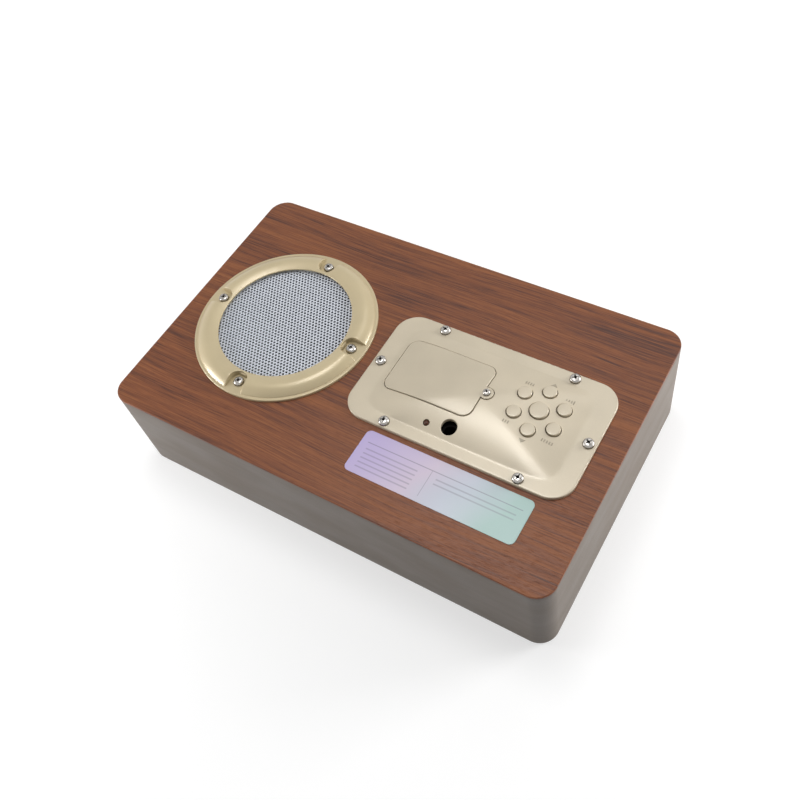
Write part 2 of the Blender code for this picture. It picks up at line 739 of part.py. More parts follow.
def build_speaker():
    """The loudspeaker behind the back board, from its gasket to its yoke."""
    centre = (speaker_x, speaker_y, 0)
    holes = [circle(screw_hole_radius, place, small_steps) for place in ring_screw_places]
    plate("speaker_gasket", [circle(flange_radius, (speaker_x, speaker_y), medium_steps),
                             circle(basket_ledge_radius, (speaker_x, speaker_y), medium_steps), *holes],
          flange_top + seat_gap, flange_top + seat_gap + gasket_thickness, rubber)

    basket = turned("speaker_basket", basket_profile(), (speaker_x, speaker_y, flange_top),
                    medium_steps, black_steel, ring=True)
    cut(basket, plate("flange_holes", holes, flange_top - flange_thickness - cut_overrun,
                      flange_top + cut_overrun, None, cutters))
    window_middle = flange_top - basket_floor_drop / 2 - basket_window_shift
    windows = bmesh.new()
    bmesh.ops.create_cube(windows, size=1)
    bmesh.ops.scale(windows, vec=(2 * flange_radius, basket_window_width, basket_window_height),
                    verts=windows.verts)
    window_mesh = bpy.data.meshes.new("basket_window")
    windows.to_mesh(window_mesh)
    windows.free()
    for number in range(2):
        window = add_object("basket_window_%d" % number, window_mesh.copy(), None, cutters)
        window.location = (speaker_x, speaker_y, window_middle)
        window.rotation_euler.z = math.pi / 4 + number * math.pi / 2
        cut(basket, window)

    roll_outer = surround_outer_radius - surround_rim_width
    roll_inner = surround_inner_radius + surround_rim_width
    top, under = arc_band(roll_inner, roll_outer, surround_level, surround_roll_height,
                          surround_thickness)
    rim_top = surround_level + surround_thickness
    surround = ([(surround_inner_radius, rim_top)] + top + [(surround_outer_radius, rim_top)]
                + [(surround_outer_radius, surround_level)] + under
                + [(surround_inner_radius, surround_level)])
    turned("speaker_surround", surround, centre, medium_steps, rubber, ring=True)

    neck = cone_level - cone_depth
    lip = cone_outer_radius - surround_rim_width / 2
    cone = [(lip, cone_level), (cone_outer_radius, cone_level),
            (cone_outer_radius, cone_level - cone_thickness),
            (lip, cone_level - cone_thickness),
            (cone_neck_radius, neck - cone_thickness), (cone_neck_radius, neck)]
    turned("speaker_cone", cone, centre, medium_steps, paper_cone, ring=True)

    rim_share = (dust_cap_radius - cone_neck_radius) / (lip - cone_neck_radius)
    cap_rim = neck + rim_share * cone_depth + seat_gap
    cap_turns = [math.pi / 2 * step / cap_steps for step in range(cap_steps + 1)]
    cap_top = [(dust_cap_radius * math.sin(a), cap_rim + dust_cap_thickness + dust_cap_rise * math.cos(a))
               for a in cap_turns]
    cap_under = [(radius, z - dust_cap_thickness) for radius, z in reversed(cap_top)]
    turned("speaker_dust_cap", cap_top + cap_under, centre, medium_steps, paper_cone)

    coil_top = flange_top - coil_top_drop
    coil_bottom = flange_top - coil_bottom_drop
    coil = [(coil_inner_radius, coil_top), (coil_outer_radius, coil_top),
            (coil_outer_radius, coil_bottom), (coil_inner_radius, coil_bottom)]
    turned("speaker_voice_coil", coil, centre, medium_steps, copper, ring=True)

    spider_level = flange_top - spider_drop
    spider_inner_radius = coil_outer_radius + seat_gap
    waves = [(spider_inner_radius + (spider_outer_radius - spider_inner_radius) * step / wave_steps,
              spider_level + spider_thickness + spider_wave_height * math.sin(math.pi / 2 * step) ** 2)
             for step in range(wave_steps + 1)]
    spider = waves + [(radius, z - spider_thickness) for radius, z in reversed(waves)]
    turned("speaker_spider", spider, centre, medium_steps, amber_cloth, ring=True)

    washer = [(top_plate_bore_radius, plate_top), (top_plate_radius, plate_top),
              (top_plate_radius, plate_top - top_plate_thickness),
              (top_plate_bore_radius, plate_top - top_plate_thickness)]
    turned("speaker_top_plate", washer, centre, medium_steps, bright_steel, ring=True)
    magnet = [(magnet_bore_radius, magnet_top), (magnet_radius, magnet_top),
              (magnet_radius, magnet_top - magnet_thickness),
              (magnet_bore_radius, magnet_top - magnet_thickness)]
    turned("speaker_magnet", magnet, centre, medium_steps, ferrite, ring=True)
    yoke = [(0, plate_top), (pole_radius, plate_top), (pole_radius, yoke_top),
            (top_plate_radius, yoke_top), (top_plate_radius, yoke_top - yoke_plate_thickness),
            (0, yoke_top - yoke_plate_thickness)]
    turned("speaker_yoke", yoke, centre, medium_steps, bright_steel)


def tab_centre():
    """Middle of the cover's screw tab, on the panel."""
    return (cover_x + cover_length / 2 + tab_reach, cover_y)


def cover_outline(grow):
    """Outline of the battery cover with its round tab, widened all round."""
    length = cover_length + 2 * grow
    width = cover_width + 2 * grow
    outline = rounded_rectangle(length, width, cover_corner_radius + grow, on_panel(cover_x, cover_y)[:2])
    radius = tab_radius + grow
    reach = tab_reach - grow
    half_turn = math.pi - math.acos(reach / radius)
    middle_x, middle_y = on_panel(*tab_centre())[:2]
    turns = [half_turn * (2 * step / tab_steps - 1) for step in range(tab_steps + 1)]
    return outline + [(middle_x + radius * math.cos(a), middle_y + radius * math.sin(a)) for a in turns]


def button_places():
    """Name, place on the panel and radius of each push button."""
    names = ("button_upper_right", "button_up", "button_upper_left",
             "button_lower_left", "button_down", "button_lower_right")
    places = [("button_centre", cluster_x, cluster_y, centre_button_radius)]
    for number, name in enumerate(names):
        turn = math.radians(30 + 60 * number)
        places.append((name, cluster_x + cluster_radius * math.cos(turn),
                       cluster_y + cluster_radius * math.sin(turn), button_radius))
    return places


def boss_places():
    """Places of the four pins that carry the circuit board, on the panel."""
    left = board_left + boss_inset
    right = board_right - boss_inset
    reach = board_half_width - boss_inset
    return [(left, reach), (right, reach), (right, -reach), (left, -reach)]


def jack_collar_level():
    """Underside of the collar that the power socket seats against."""
    return panel_top + lowest_rise(jack_x, jack_y, jack_radius) - panel_wall - jack_collar_drop


def lamp_collar_level():
    """Underside of the collar that the indicator lamp seats against."""
    return panel_top + lowest_rise(lamp_x, lamp_y, lamp_collar_radius) - panel_wall - jack_collar_drop


def build_panel():
    """The gold control panel: flat flange, crowned middle, bosses and holes."""
    panel = crowned("control_panel", 0, panel_wall, gold_plastic)
    edge = rounded_rectangle(panel_length, panel_width, panel_corner_radius, (panel_x, panel_y))
    above = panel_top + crown_height + cut_overrun
    cut(panel, plate("panel_outline", [edge], back_face - cut_overrun, above, None, cutters), "INTERSECT")

    pin_bottom = control_board_top - boss_pin_length
    post = turned("boss_shape", [(0, above), (boss_radius, above),
                                 (boss_radius, control_board_top + seat_gap),
                                 (boss_pin_radius, control_board_top + seat_gap),
                                 (boss_pin_radius, pin_bottom), (0, pin_bottom)],
                  (0, 0, 0), small_steps, None, cutters)
    posts = repeated("panel_bosses", settled(post, "boss_mesh"),
                     [on_panel(*place) for place in boss_places()], None)
    limit = crowned("boss_limit", -panel_wall / 2, 0, None, cutters, floor=pin_bottom - cut_overrun)
    cut(posts, limit, "INTERSECT")
    cut(panel, posts, "UNION")
    jack_collar = plate("jack_collar", [circle(jack_radius, on_panel(jack_x, jack_y)[:2], medium_steps)],
                        jack_collar_level(), above, None, cutters)
    lamp_collar = plate("lamp_collar", [circle(lamp_collar_radius, on_panel(lamp_x, lamp_y)[:2],
                                               small_steps)], lamp_collar_level(), above, None, cutters)
    for collar in (jack_collar, lamp_collar):
        cut(collar, limit, "INTERSECT")
        cut(panel, collar, "UNION")

    openings = [cover_outline(slip_gap)]
    openings += [circle(radius + slip_gap, on_panel(x, y)[:2], button_steps)
                 for _, x, y, radius in button_places()]
    openings.append(circle(jack_hole_radius, on_panel(jack_x, jack_y)[:2], medium_steps))
    openings.append(circle(lamp_hole_radius, on_panel(lamp_x, lamp_y)[:2], small_steps))
    openings += [circle(screw_hole_radius, on_panel(*place)[:2], small_steps)
                 for place in panel_screw_places]
    holes = plate("panel_holes", openings, pin_bottom - cut_overrun, above + cut_overrun, None, cutters)
    cut(panel, holes)
    return panel


def build_battery_bay():
    """The cover with its tongues, the tray under it and the flat cell."""
    tab_x, tab_y = tab_centre()
    tab_hole = cover_screw_shank_radius + seat_gap
    cover_thickness = panel_wall + cover_proud
    above = panel_top + crown_height + cut_overrun
    hinge_x = cover_x - cover_length / 2
    hinge_level = panel_top + cover_proud + crown_rise(hinge_x, cover_y)
    cover = crowned("battery_cover", cover_proud, cover_thickness, gold_plastic)
    outline = plate("cover_shape", [cover_outline(0)], back_face - cut_overrun, above, None, cutters)
    cut(cover, outline, "INTERSECT")
    tongue_top = hinge_level - cover_thickness - seat_gap
    tongue_reach = tongue_length + 2 * tongue_thickness
    riser_height = 2 * tongue_thickness
    for side in (-1, 1):
        tongue_y = cover_y + side * tongue_spacing / 2
        tongue_place = on_panel(hinge_x - tongue_length + tongue_reach / 2, tongue_y,
                                tongue_top - tongue_thickness / 2)
        riser_place = on_panel(hinge_x + 1.5 * tongue_thickness, tongue_y,
                               tongue_top - tongue_thickness + riser_height / 2)
        tongue_size = (tongue_reach, tongue_width, tongue_thickness)
        riser_size = (tongue_thickness, tongue_width, riser_height)
        cut(cover, block("cover_riser", riser_size, riser_place, None, cutters), "UNION")
        cut(cover, block("cover_tongue", tongue_size, tongue_place, None, cutters), "UNION")
    hole = plate("cover_hole", [circle(tab_hole, on_panel(tab_x, tab_y)[:2], small_steps)],
                 back_face - cut_overrun, above + cut_overrun, None, cutters)
    cut(cover, hole)

    tray_bottom = back_face - tray_drop
    tray = plate("battery_tray", [cover_outline(tray_wall)], tray_bottom, above, black_plastic)
    cut(tray, crowned("tray_limit", -panel_wall - seat_gap, 0, None, cutters,
                      floor=tray_bottom - cut_overrun), "INTERSECT")
    well_length = cover_length - 2 * tray_ledge
    well_width = cover_width - 2 * tray_ledge
    well_centre = on_panel(cover_x, cover_y)[:2]
    well_floor = tray_bottom + tray_floor_thickness
    well = rounded_rectangle(well_length, well_width, cell_corner_radius + cell_clearance, well_centre)
    cut(tray, plate("tray_well", [well], well_floor, above + cut_overrun, None, cutters))
    swing_hole = circle(cover_screw_shank_radius + 2 * slip_gap, on_panel(tab_x, tab_y)[:2], small_steps)
    cut(tray, plate("tray_hole", [swing_hole], tray_bottom + tray_floor_thickness,
                    above + cut_overrun, None, cutters))
    notch_size = (2 * tongue_reach, tongue_spacing + tongue_width + 2 * slip_gap, 4 * tongue_thickness)
    notch_place = on_panel(hinge_x, cover_y, tongue_top - tongue_thickness)
    cut(tray, block("tongue_notch", notch_size, notch_place, None, cutters))

    cell = rounded_rectangle(well_length - 2 * cell_clearance, well_width - 2 * cell_clearance,
                             cell_corner_radius, well_centre)
    cell_floor = well_floor + seat_gap
    plate("backup_cell", [cell], cell_floor, cell_floor + cell_thickness, pale_foil)
    return cover


def build_buttons():
    """Seven caps, each with a collar under the panel and a stem to its key."""
    for name, x, y, radius in button_places():
        surface_level = panel_top + crown_rise(x, y)
        cap_top = surface_level + button_proud
        collar_radius = radius + button_collar_width
        collar_top = panel_top + lowest_rise(x, y, collar_radius) - panel_wall - seat_gap
        collar_bottom = collar_top - button_collar_thickness
        profile = [(0, cap_top), (radius - button_edge_round, cap_top),
                   (radius, cap_top - button_edge_round), (radius, collar_top),
                   (collar_radius, collar_top), (collar_radius, collar_bottom),
                   (button_stem_radius, collar_bottom), (button_stem_radius, stem_bottom),
                   (0, stem_bottom)]
        turned(name, profile, on_panel(x, y), button_steps, gold_plastic)


def build_circuit():
    """The circuit board on its pins and the key mat that the stems press."""
    left = panel_x + board_left
    right = panel_x + board_right
    board_centre = ((left + right) / 2, panel_y)
    outline = rounded_rectangle(right - left, 2 * board_half_width, board_corner_radius, board_centre)
    pin_holes = [circle(boss_pin_radius + seat_gap, on_panel(*place)[:2], small_steps)
                 for place in boss_places()]
    plate("control_board", [outline, *pin_holes], control_board_top - board_thickness,
          control_board_top, circuit_green)
    mat_outline = rounded_rectangle(mat_length, mat_width, mat_corner_radius,
                                    on_panel(cluster_x, cluster_y)[:2])
    mat = plate("key_mat", [mat_outline], mat_base, mat_base + mat_thickness, silicone)
    domes = [circle(dome_radius, on_panel(x, y)[:2], small_steps) for _, x, y, _ in button_places()]
    dome_tool = plate("key_domes", domes, mat_base + mat_thickness / 2,
                      mat_base + mat_thickness + dome_height, None, cutters)
    cut(mat, dome_tool, "UNION")


def build_socket_and_lamp():
    """The power socket with its centre pin, and the indicator lamp."""
    top = jack_collar_level() - seat_gap
    socket = [(0, top - jack_bore_depth), (jack_bore_radius, top - jack_bore_depth),
              (jack_bore_radius, top), (jack_radius, top), (jack_radius, top - jack_length),
              (0, top - jack_length)]
    turned("power_socket", socket, on_panel(jack_x, jack_y), medium_steps, black_plastic)
    pin_top = top - jack_pin_recess
    pin_foot = top - jack_bore_depth + seat_gap
    pin = [(0, pin_top), (jack_pin_radius, pin_top), (jack_pin_radius, pin_foot), (0, pin_foot)]
    turned("socket_pin", pin, on_panel(jack_x, jack_y), small_steps, nickel)

    seat = lamp_collar_level() - seat_gap
    lamp_base = seat - lamp_flange_thickness
    lamp = [(lamp_radius * math.sin(a), lamp_base + lamp_length - lamp_radius * (1 - math.cos(a)))
            for a in [math.pi / 2 * step / lamp_steps for step in range(lamp_steps + 1)]]
    lamp += [(lamp_radius, seat), (lamp_flange_radius, seat), (lamp_flange_radius, lamp_base),
             (0, lamp_base)]
    turned("indicator_lamp", lamp, on_panel(lamp_x, lamp_y), small_steps, lamp_glass)


def screw_mesh(name, head_radius, head_height, shank_radius, length, cross):
    """A pan-head screw with a cross recess, its seat at the origin."""
    dome = [(head_radius * share, head_height * (1 - head_fall_share * share ** 3))
            for share in head_dome_shares]
    profile = dome + [(head_radius, head_height * head_side_share), (head_radius, 0), (shank_radius, 0),
                      (shank_radius, -length + shank_radius), (0, -length)]
    shape = turned(name + "_shape", profile, (0, 0, 0), small_steps, None, cutters)
    for across, along in ((cross_width, cross), (cross, cross_width)):
        slot = block(name + "_slot", (across, along, 2 * cross_depth), (0, 0, head_height), None, cutters)
        cut(shape, slot)
    return settled(shape, name)


def build_screws():
    """Four ring screws, six panel screws and the cover's small screw."""
    ring_mesh = screw_mesh("ring_screw", screw_head_radius, screw_head_height, screw_shank_radius,
                           ring_screw_length, cross_length)
    for number, (x, y) in enumerate(ring_screw_places, 1):
        screw = add_object("ring_screw_%d" % number, ring_mesh, nickel)
        screw.location = (x, y, back_face + ring_rim_height + seat_gap)
        screw.rotation_euler.z = number
    panel_mesh = screw_mesh("panel_screw", screw_head_radius, screw_head_height, screw_shank_radius,
                            panel_screw_length, cross_length)
    for number, (x, y) in enumerate(panel_screw_places, 1):
        screw = add_object("panel_screw_%d" % number, panel_mesh, nickel)
        screw.location = on_panel(x, y, panel_top + seat_gap)
        screw.rotation_euler.z = number + math.pi / 4
    tab_x, tab_y = tab_centre()
    cover_mesh = screw_mesh("cover_screw", cover_screw_head_radius, cover_screw_head_height,
                            cover_screw_shank_radius, cover_screw_length, cover_screw_cross_length)
    cover_screw = add_object("cover_screw", cover_mesh, nickel)
    cover_screw.location = on_panel(tab_x, tab_y, panel_top + cover_proud + seat_gap
                                    + crown_rise(tab_x, tab_y))


def build_label_and_leads():
    """The blank label, and the leads between the boards and the speaker."""
    label = rounded_rectangle(label_length, label_width, label_corner_radius, (label_x, label_y))
    label_bottom = back_face + label_gap
    plate("rating_label", [label], label_bottom, label_bottom + label_thickness, label_film)

    board_under = control_board_top - board_thickness - 2 * seat_gap
    lead_foot = display_back + seat_gap
    bend = corner_block_side
    start_x = speaker_x + magnet_radius + seat_gap
    speaker_lead_level = magnet_top - magnet_thickness / 2
    end_x = panel_x + board_left + boss_inset
    speaker_route = [(start_x, speaker_y, speaker_lead_level),
                     (start_x + bend, speaker_y, speaker_lead_level),
                     (panel_x - bend, panel_y - bend, speaker_lead_level + bend / 2),
                     (end_x, panel_y - bend, board_under - bend / 2),
                     (end_x, panel_y - bend, board_under)]
    tube("speaker_lead", speaker_route, speaker_lead_radius, lead_skin)
    lead_x = panel_x + board_right - 2 * boss_inset
    middle = (lead_foot + board_under) / 2
    display_x = window_length / 2 - 2 * display_board_overlap
    display_route = [(display_x, panel_y, lead_foot),
                     (display_x, panel_y, lead_foot + bend / 2),
                     ((display_x + lead_x) / 2, panel_y, middle),
                     (lead_x, panel_y, board_under - bend / 2),
                     (lead_x, panel_y, board_under)]
    tube("display_lead", display_route, display_lead_radius, lead_skin)


build_case()
build_display()
build_speaker_trim()
build_speaker()
control_panel = build_panel()
battery_cover = build_battery_bay()
build_buttons()
build_circuit()
build_socket_and_lamp()
build_screws()
build_label_and_leads()
for piece in (control_panel, battery_cover):
    shade_round(piece)
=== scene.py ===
"""Looks of a wooden desk clock that lies on its face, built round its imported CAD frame."""
import math

import bmesh
import bpy
import numpy as np
from bpy.props import FloatProperty, FloatVectorProperty, IntProperty, PointerProperty
from mathutils import Matrix, Vector
from mathutils.geometry import delaunay_2d_cdt


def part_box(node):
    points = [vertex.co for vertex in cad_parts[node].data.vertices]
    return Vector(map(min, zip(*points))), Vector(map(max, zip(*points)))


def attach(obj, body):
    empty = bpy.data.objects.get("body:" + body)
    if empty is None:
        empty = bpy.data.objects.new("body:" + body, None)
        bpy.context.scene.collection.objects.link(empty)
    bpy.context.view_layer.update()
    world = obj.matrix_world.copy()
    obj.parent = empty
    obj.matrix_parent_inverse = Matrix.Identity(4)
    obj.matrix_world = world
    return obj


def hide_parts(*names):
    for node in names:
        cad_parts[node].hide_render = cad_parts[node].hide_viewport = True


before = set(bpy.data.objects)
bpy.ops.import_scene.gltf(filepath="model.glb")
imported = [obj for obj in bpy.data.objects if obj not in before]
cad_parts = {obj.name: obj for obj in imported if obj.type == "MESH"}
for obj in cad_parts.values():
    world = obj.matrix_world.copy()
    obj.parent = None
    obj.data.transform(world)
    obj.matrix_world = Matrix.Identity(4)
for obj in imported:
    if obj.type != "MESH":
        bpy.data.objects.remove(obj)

bl_info = {
    "name": "Wooden desk clock",
    "version": (1, 0, 0),
    "blender": (4, 5, 0),
    "location": "3D View > Sidebar > Clock",
    "description": "Builds a walnut desk clock with a loudspeaker and a control panel on its back",
    "category": "Object",
}


def linear(red, green, blue):
    """A screen colour, 0 to 255, as the linear values that a shader takes."""
    return tuple(c / 12.92 if c <= 0.04045 else ((c + 0.055) / 1.055) ** 2.4
                 for c in (red / 255, green / 255, blue / 255))


def length(name, text, default):
    """A size that a user may change."""
    return FloatProperty(name=name, description=text, default=default, unit="LENGTH", precision=5)


def colour(name, text, *screen):
    """A colour that a user may change."""
    return FloatVectorProperty(name=name, description=text, default=linear(*screen),
                               subtype="COLOR", size=3, min=0, max=1)


def amount(name, text, default, unit="NONE"):
    """A plain number, a lamp's power or a focal length that a user may change."""
    return FloatProperty(name=name, description=text, default=default, unit=unit)


class CaseSettings(bpy.types.PropertyGroup):
    """Sizes and colours of the wooden case."""
    corner_radius: length("Corner radius", "Radius of the case's upright corners", 0.010)
    wall: length("Wall", "Thickness of the side walls", 0.009)
    rim_round: length("Rim rounding", "Rounding of the walls' rims", 0.0008)
    veneer_round: length("Veneer rounding", "Rounding of the back veneer's edge", 0.0004)
    window_length: length("Window length", "Length of the window in the front", 0.172)
    window_height: length("Window height", "Height of the window in the front", 0.062)
    window_bevel: length("Window rounding", "Rounding of the window's rim", 0.0015)
    walnut_dark: colour("Dark grain", "Darkest lines of the walnut", 68, 32, 16)
    walnut_mid: colour("Walnut", "Main tone of the walnut", 115, 62, 30)
    walnut_light: colour("Light grain", "Lightest bands of the walnut", 136, 80, 42)
    lacquer: colour("Lacquer", "Taupe lacquer of the side walls", 107, 96, 86)
    fibreboard: colour("Fibreboard", "Raw board behind the veneer", 168, 134, 96)


class DisplaySettings(bpy.types.PropertyGroup):
    """Sizes and colours of the clock's display."""
    segment_length: length("Segment length", "Length of one bar of a digit", 0.0166)
    segment_width: length("Segment width", "Width of one bar of a digit", 0.0034)
    digit_height: length("Digit height", "Height between the middles of the end bars", 0.0356)
    slant: amount("Slant", "Sideways lean of the digits for each unit of height", 0.10)
    lens: colour("Window tint", "Smoked tint of the window", 30, 26, 26)
    segment: colour("Bar colour", "Milky colour of a bar that isn't lit", 196, 188, 180)


class TrimSettings(bpy.types.PropertyGroup):
    """Sizes and colours of the loudspeaker's ring and grille."""
    opening_radius: length("Opening radius", "Radius of the ring's opening", 0.036)
    crown_radius: length("Crown radius", "Radius of the ring's highest line", 0.0416)
    shoulder_radius: length("Shoulder radius", "Radius where the bulge meets the rim", 0.0481)
    rim_height: length("Rim height", "Height of the ring's outer rim over the back", 0.0014)
    lip_height: length("Lip height", "Height of the inner lip over the back", 0.0036)
    lip_thickness: length("Lip thickness", "Thickness of the inner lip", 0.0006)
    crown_height: length("Crown height", "Height of the bulge over the back", 0.0047)
    pocket_width: length("Pocket width", "Width of a screw pocket", 0.010)
    pocket_circle: length("Screw circle", "Radius on which the ring's screws stand", 0.042)
    hole_pitch: length("Hole pitch", "Distance between the grille's holes", 0.00191)
    hole_size: length("Hole size", "Width of a hole of the grille", 0.00136)
    sheet_thickness: length("Sheet thickness", "Thickness of the grille's steel", 0.0007)
    sheet_drop: length("Sheet drop", "How far the grille lies below the lip", 0.0006)
    gold: colour("Gold", "Champagne gold of the ring", 190, 174, 138)
    steel: colour("Grille white", "Paint of the grille", 214, 218, 226)


class SurroundSettings(bpy.types.PropertyGroup):
    """Sizes of the loudspeaker's rubber surround."""
    rim: length("Rim", "Width of the flat rim on each side of the roll", 0.0022)
    land: length("Land", "How far the surround reaches over the cone", 0.0020)
    skin: length("Skin", "Thickness of the rubber", 0.0005)
    parting: length("Parting", "Half of the gap at the roll's crest", 0.00005)


class PanelSettings(bpy.types.PropertyGroup):
    """Sizes and colours of the control panel, its buttons and its openings."""
    corner_radius: length("Corner radius", "Radius of the panel's corners", 0.012)
    flange_height: length("Flange height", "Height of the flat rim over the back", 0.0018)
    wall: length("Wall", "Thickness of the panel", 0.0018)
    crown_length: length("Crown length", "Length of the raised middle", 0.1012)
    crown_width: length("Crown width", "Width of the raised middle", 0.0542)
    crown_height: length("Crown height", "Height of the raised middle over the rim", 0.0045)
    crown_softness: amount("Crown softness", "Softness of the line where the middle rises", 0.02)
    cover_gap: length("Cover gap", "Gap round the battery cover", 0.00036)
    cover_radius: length("Cover corner", "Radius of the battery cover's corners", 0.005)
    cover_length: length("Cover length", "Length of the battery cover", 0.0492)
    cover_proud: length("Cover height", "Height of the cover over the panel", 0.0004)
    tab_radius: length("Tab radius", "Radius of the cover's screw tab", 0.0034)
    tab_reach: length("Tab reach", "How far the tab's middle is from the cover", 0.0017)
    button_radius: length("Button radius", "Radius of the six small buttons", 0.00340)
    centre_radius: length("Centre button radius", "Radius of the middle button", 0.00450)
    button_round: length("Button rounding", "Rounding of a button's edge", 0.00028)
    button_gap: length("Button gap", "Gap round a button", 0.00040)
    jack_radius: length("Socket opening", "Radius of the hole over the power socket", 0.0040)
    lamp_radius: length("Lamp opening", "Radius of the hole over the lamp", 0.00165)
    gold: colour("Gold", "Pale gold of the panel", 196, 184, 161)


class ScrewSettings(bpy.types.PropertyGroup):
    """Sizes and colours of the pan head screws."""
    head_radius: length("Head radius", "Radius of a pan head", 0.0028)
    head_height: length("Head height", "Height of a pan head", 0.0019)
    cross_length: length("Cross length", "Length of the cross in a head", 0.0032)
    cross_width: length("Cross width", "Width of the cross in a head", 0.0008)
    seed: IntProperty(name="Seed", description="Seed of the heads' turns", default=7)
    nickel: colour("Nickel", "Colour of the plating", 174, 170, 165)
    # Painted shade: the colour of the shade deep in a cross and round a head's foot.
    recess: colour("Recess", "Colour deep in a cross", 16, 13, 14)


class LabelSettings(bpy.types.PropertyGroup):
    """Corners and colours of the rating label."""
    corner_radius: length("Corner radius", "Radius of the label's corners", 0.0028)
    left: colour("Left", "Colour at the label's left end", 184, 169, 212)
    middle: colour("Middle", "Colour at the label's middle", 204, 190, 208)
    right: colour("Right", "Colour at the label's right end", 160, 190, 184)
    rules: colour("Rules", "Colour of the printed rules", 96, 90, 112)


class StageSettings(bpy.types.PropertyGroup):
    """Camera, lights and floor."""
    lens: amount("Lens", "Focal length of the camera", 40.26, "CAMERA")
    ambient: amount("Ambient", "Strength of the light from all round", 0.30)
    overhead: amount("Overhead", "Power of the soft light overhead", 2.95, "POWER")
    left: amount("Left", "Power of the soft light at the near left", 0.98, "POWER")
    sheen: amount("Sheen", "Power of the light that glosses level faces", 0.55, "POWER")
    right: amount("Right", "Power of the soft light at the far right", 3.6, "POWER")
    side: amount("Side", "Power of the low light at the right wall", 0.50, "POWER")
    floor: colour("Floor", "Colour of the floor", 188, 188, 188)
    haze: amount("Floor haze", "White that the camera sees over the floor", 0.56)


class Wire:
    """A node's output. Sums with it add Math nodes to its tree."""

    def __init__(self, maker, socket):
        self.maker = maker
        self.socket = socket

    def other(self, output):
        """Another output of the same node."""
        return Wire(self.maker, self.socket.node.outputs[output])

    def math(self, operation, *terms):
        """A Math node with this wire as its first term."""
        terms = dict(enumerate((self, *terms)))
        return self.maker.node("ShaderNodeMath", terms, operation=operation)

    def __add__(self, term):
        return self.math("ADD", term)

    def __sub__(self, term):
        return self.math("SUBTRACT", term)

    def __mul__(self, term):
        return self.math("MULTIPLY", term)

    def __truediv__(self, term):
        return self.math("DIVIDE", term)


class NodeMaker:
    """Adds nodes to a tree, with the values and wires of their inputs and their settings."""

    def __init__(self, tree):
        self.tree = tree

    def join(self, value, socket):
        """Feeds an input with a wire, with several wires or with a value."""
        for item in value if isinstance(value, list) else [value]:
            if isinstance(item, Wire):
                self.tree.links.new(item.socket, socket)
            else:
                socket.default_value = item

    def node(self, kind, inputs=None, output=0, stops=(), **settings):
        made = self.tree.nodes.new(kind)
        for key, value in settings.items():
            setattr(made, key, value)
        for number, (position, shown) in enumerate(stops):
            elements = made.color_ramp.elements
            element = elements[number] if number < len(elements) else elements.new(1)
            element.position, element.color = position, shown
        for key, value in (inputs or {}).items():
            self.join(value, made.inputs[key])
        return Wire(self, made.outputs[output])

    def mix(self, share, first, second):
        return self.node("ShaderNodeMix", {0: share, 6: tint(first), 7: tint(second)}, 2,
                         data_type="RGBA")


class Finish(NodeMaker):
    """A material with its principled shader and the object's own coordinates."""

    def __init__(self, name, **constants):
        self.material = bpy.data.materials.new(name)
        self.material.use_nodes = True
        super().__init__(self.material.node_tree)
        self.shader = self.tree.nodes["Principled BSDF"]
        for label, value in constants.items():
            self.shader.inputs[label.replace("_", " ")].default_value = value
        self.place = self.node("ShaderNodeTexCoord", output="Object")

    def feed(self, label, value):
        self.join(value, self.shader.inputs[label])

    def vector(self, operation, first, second=(0, 0, 0), output=0):
        return self.node("ShaderNodeVectorMath", {0: first, 1: second}, output,
                         operation=operation)

    def along(self, axis):
        """The place along x, y or z."""
        return self.node("ShaderNodeSeparateXYZ", {0: self.place}, "XYZ".index(axis))

    def grain(self, sizes, detail=2.0, roughness=0.5, at=None):
        """Noise with patches of one size, or of these sizes along x, y and z."""
        at = self.vector("DIVIDE", at or self.place, three(sizes))
        return self.node("ShaderNodeTexNoise", {"Vector": at, "Scale": 1.0, "Detail": detail,
                                                "Roughness": roughness})

    def between(self, value, low, high, start=0.0, end=1.0):
        """Start below low, end above high, even in between."""
        return self.node("ShaderNodeMapRange", {"Value": value, "From Min": low, "From Max": high,
                                                "To Min": start, "To Max": end})

    def ramp(self, value, *stops):
        return self.node("ShaderNodeValToRGB", {0: value},
                         stops=[(at, tint(shown)) for at, shown in stops])

    def shaded(self, value, low, high, base, dark, light):
        """A colour made darker below low and lighter above high."""
        return self.ramp(value, (low, shade(base, dark)), (high, shade(base, light)))

    def gloss(self, value, smooth, rough, low=0.3, high=0.7):
        """Feeds the roughness with an uneven value."""
        self.feed("Roughness", self.between(value, low, high, smooth, rough))

    def bump(self, height, distance):
        self.feed("Normal", self.node("ShaderNodeBump", {"Height": height, "Distance": distance}))


def three(value):
    """A size for each axis."""
    return value if isinstance(value, tuple) else (value,) * 3


def tint(value):
    """A colour with the fourth value that a socket wants."""
    return value if isinstance(value, Wire) or len(value) == 4 else (*value, 1.0)


def shade(value, share):
    """A colour made darker or lighter by one factor."""
    return tuple(min(1.0, c * share) for c in value[:3])


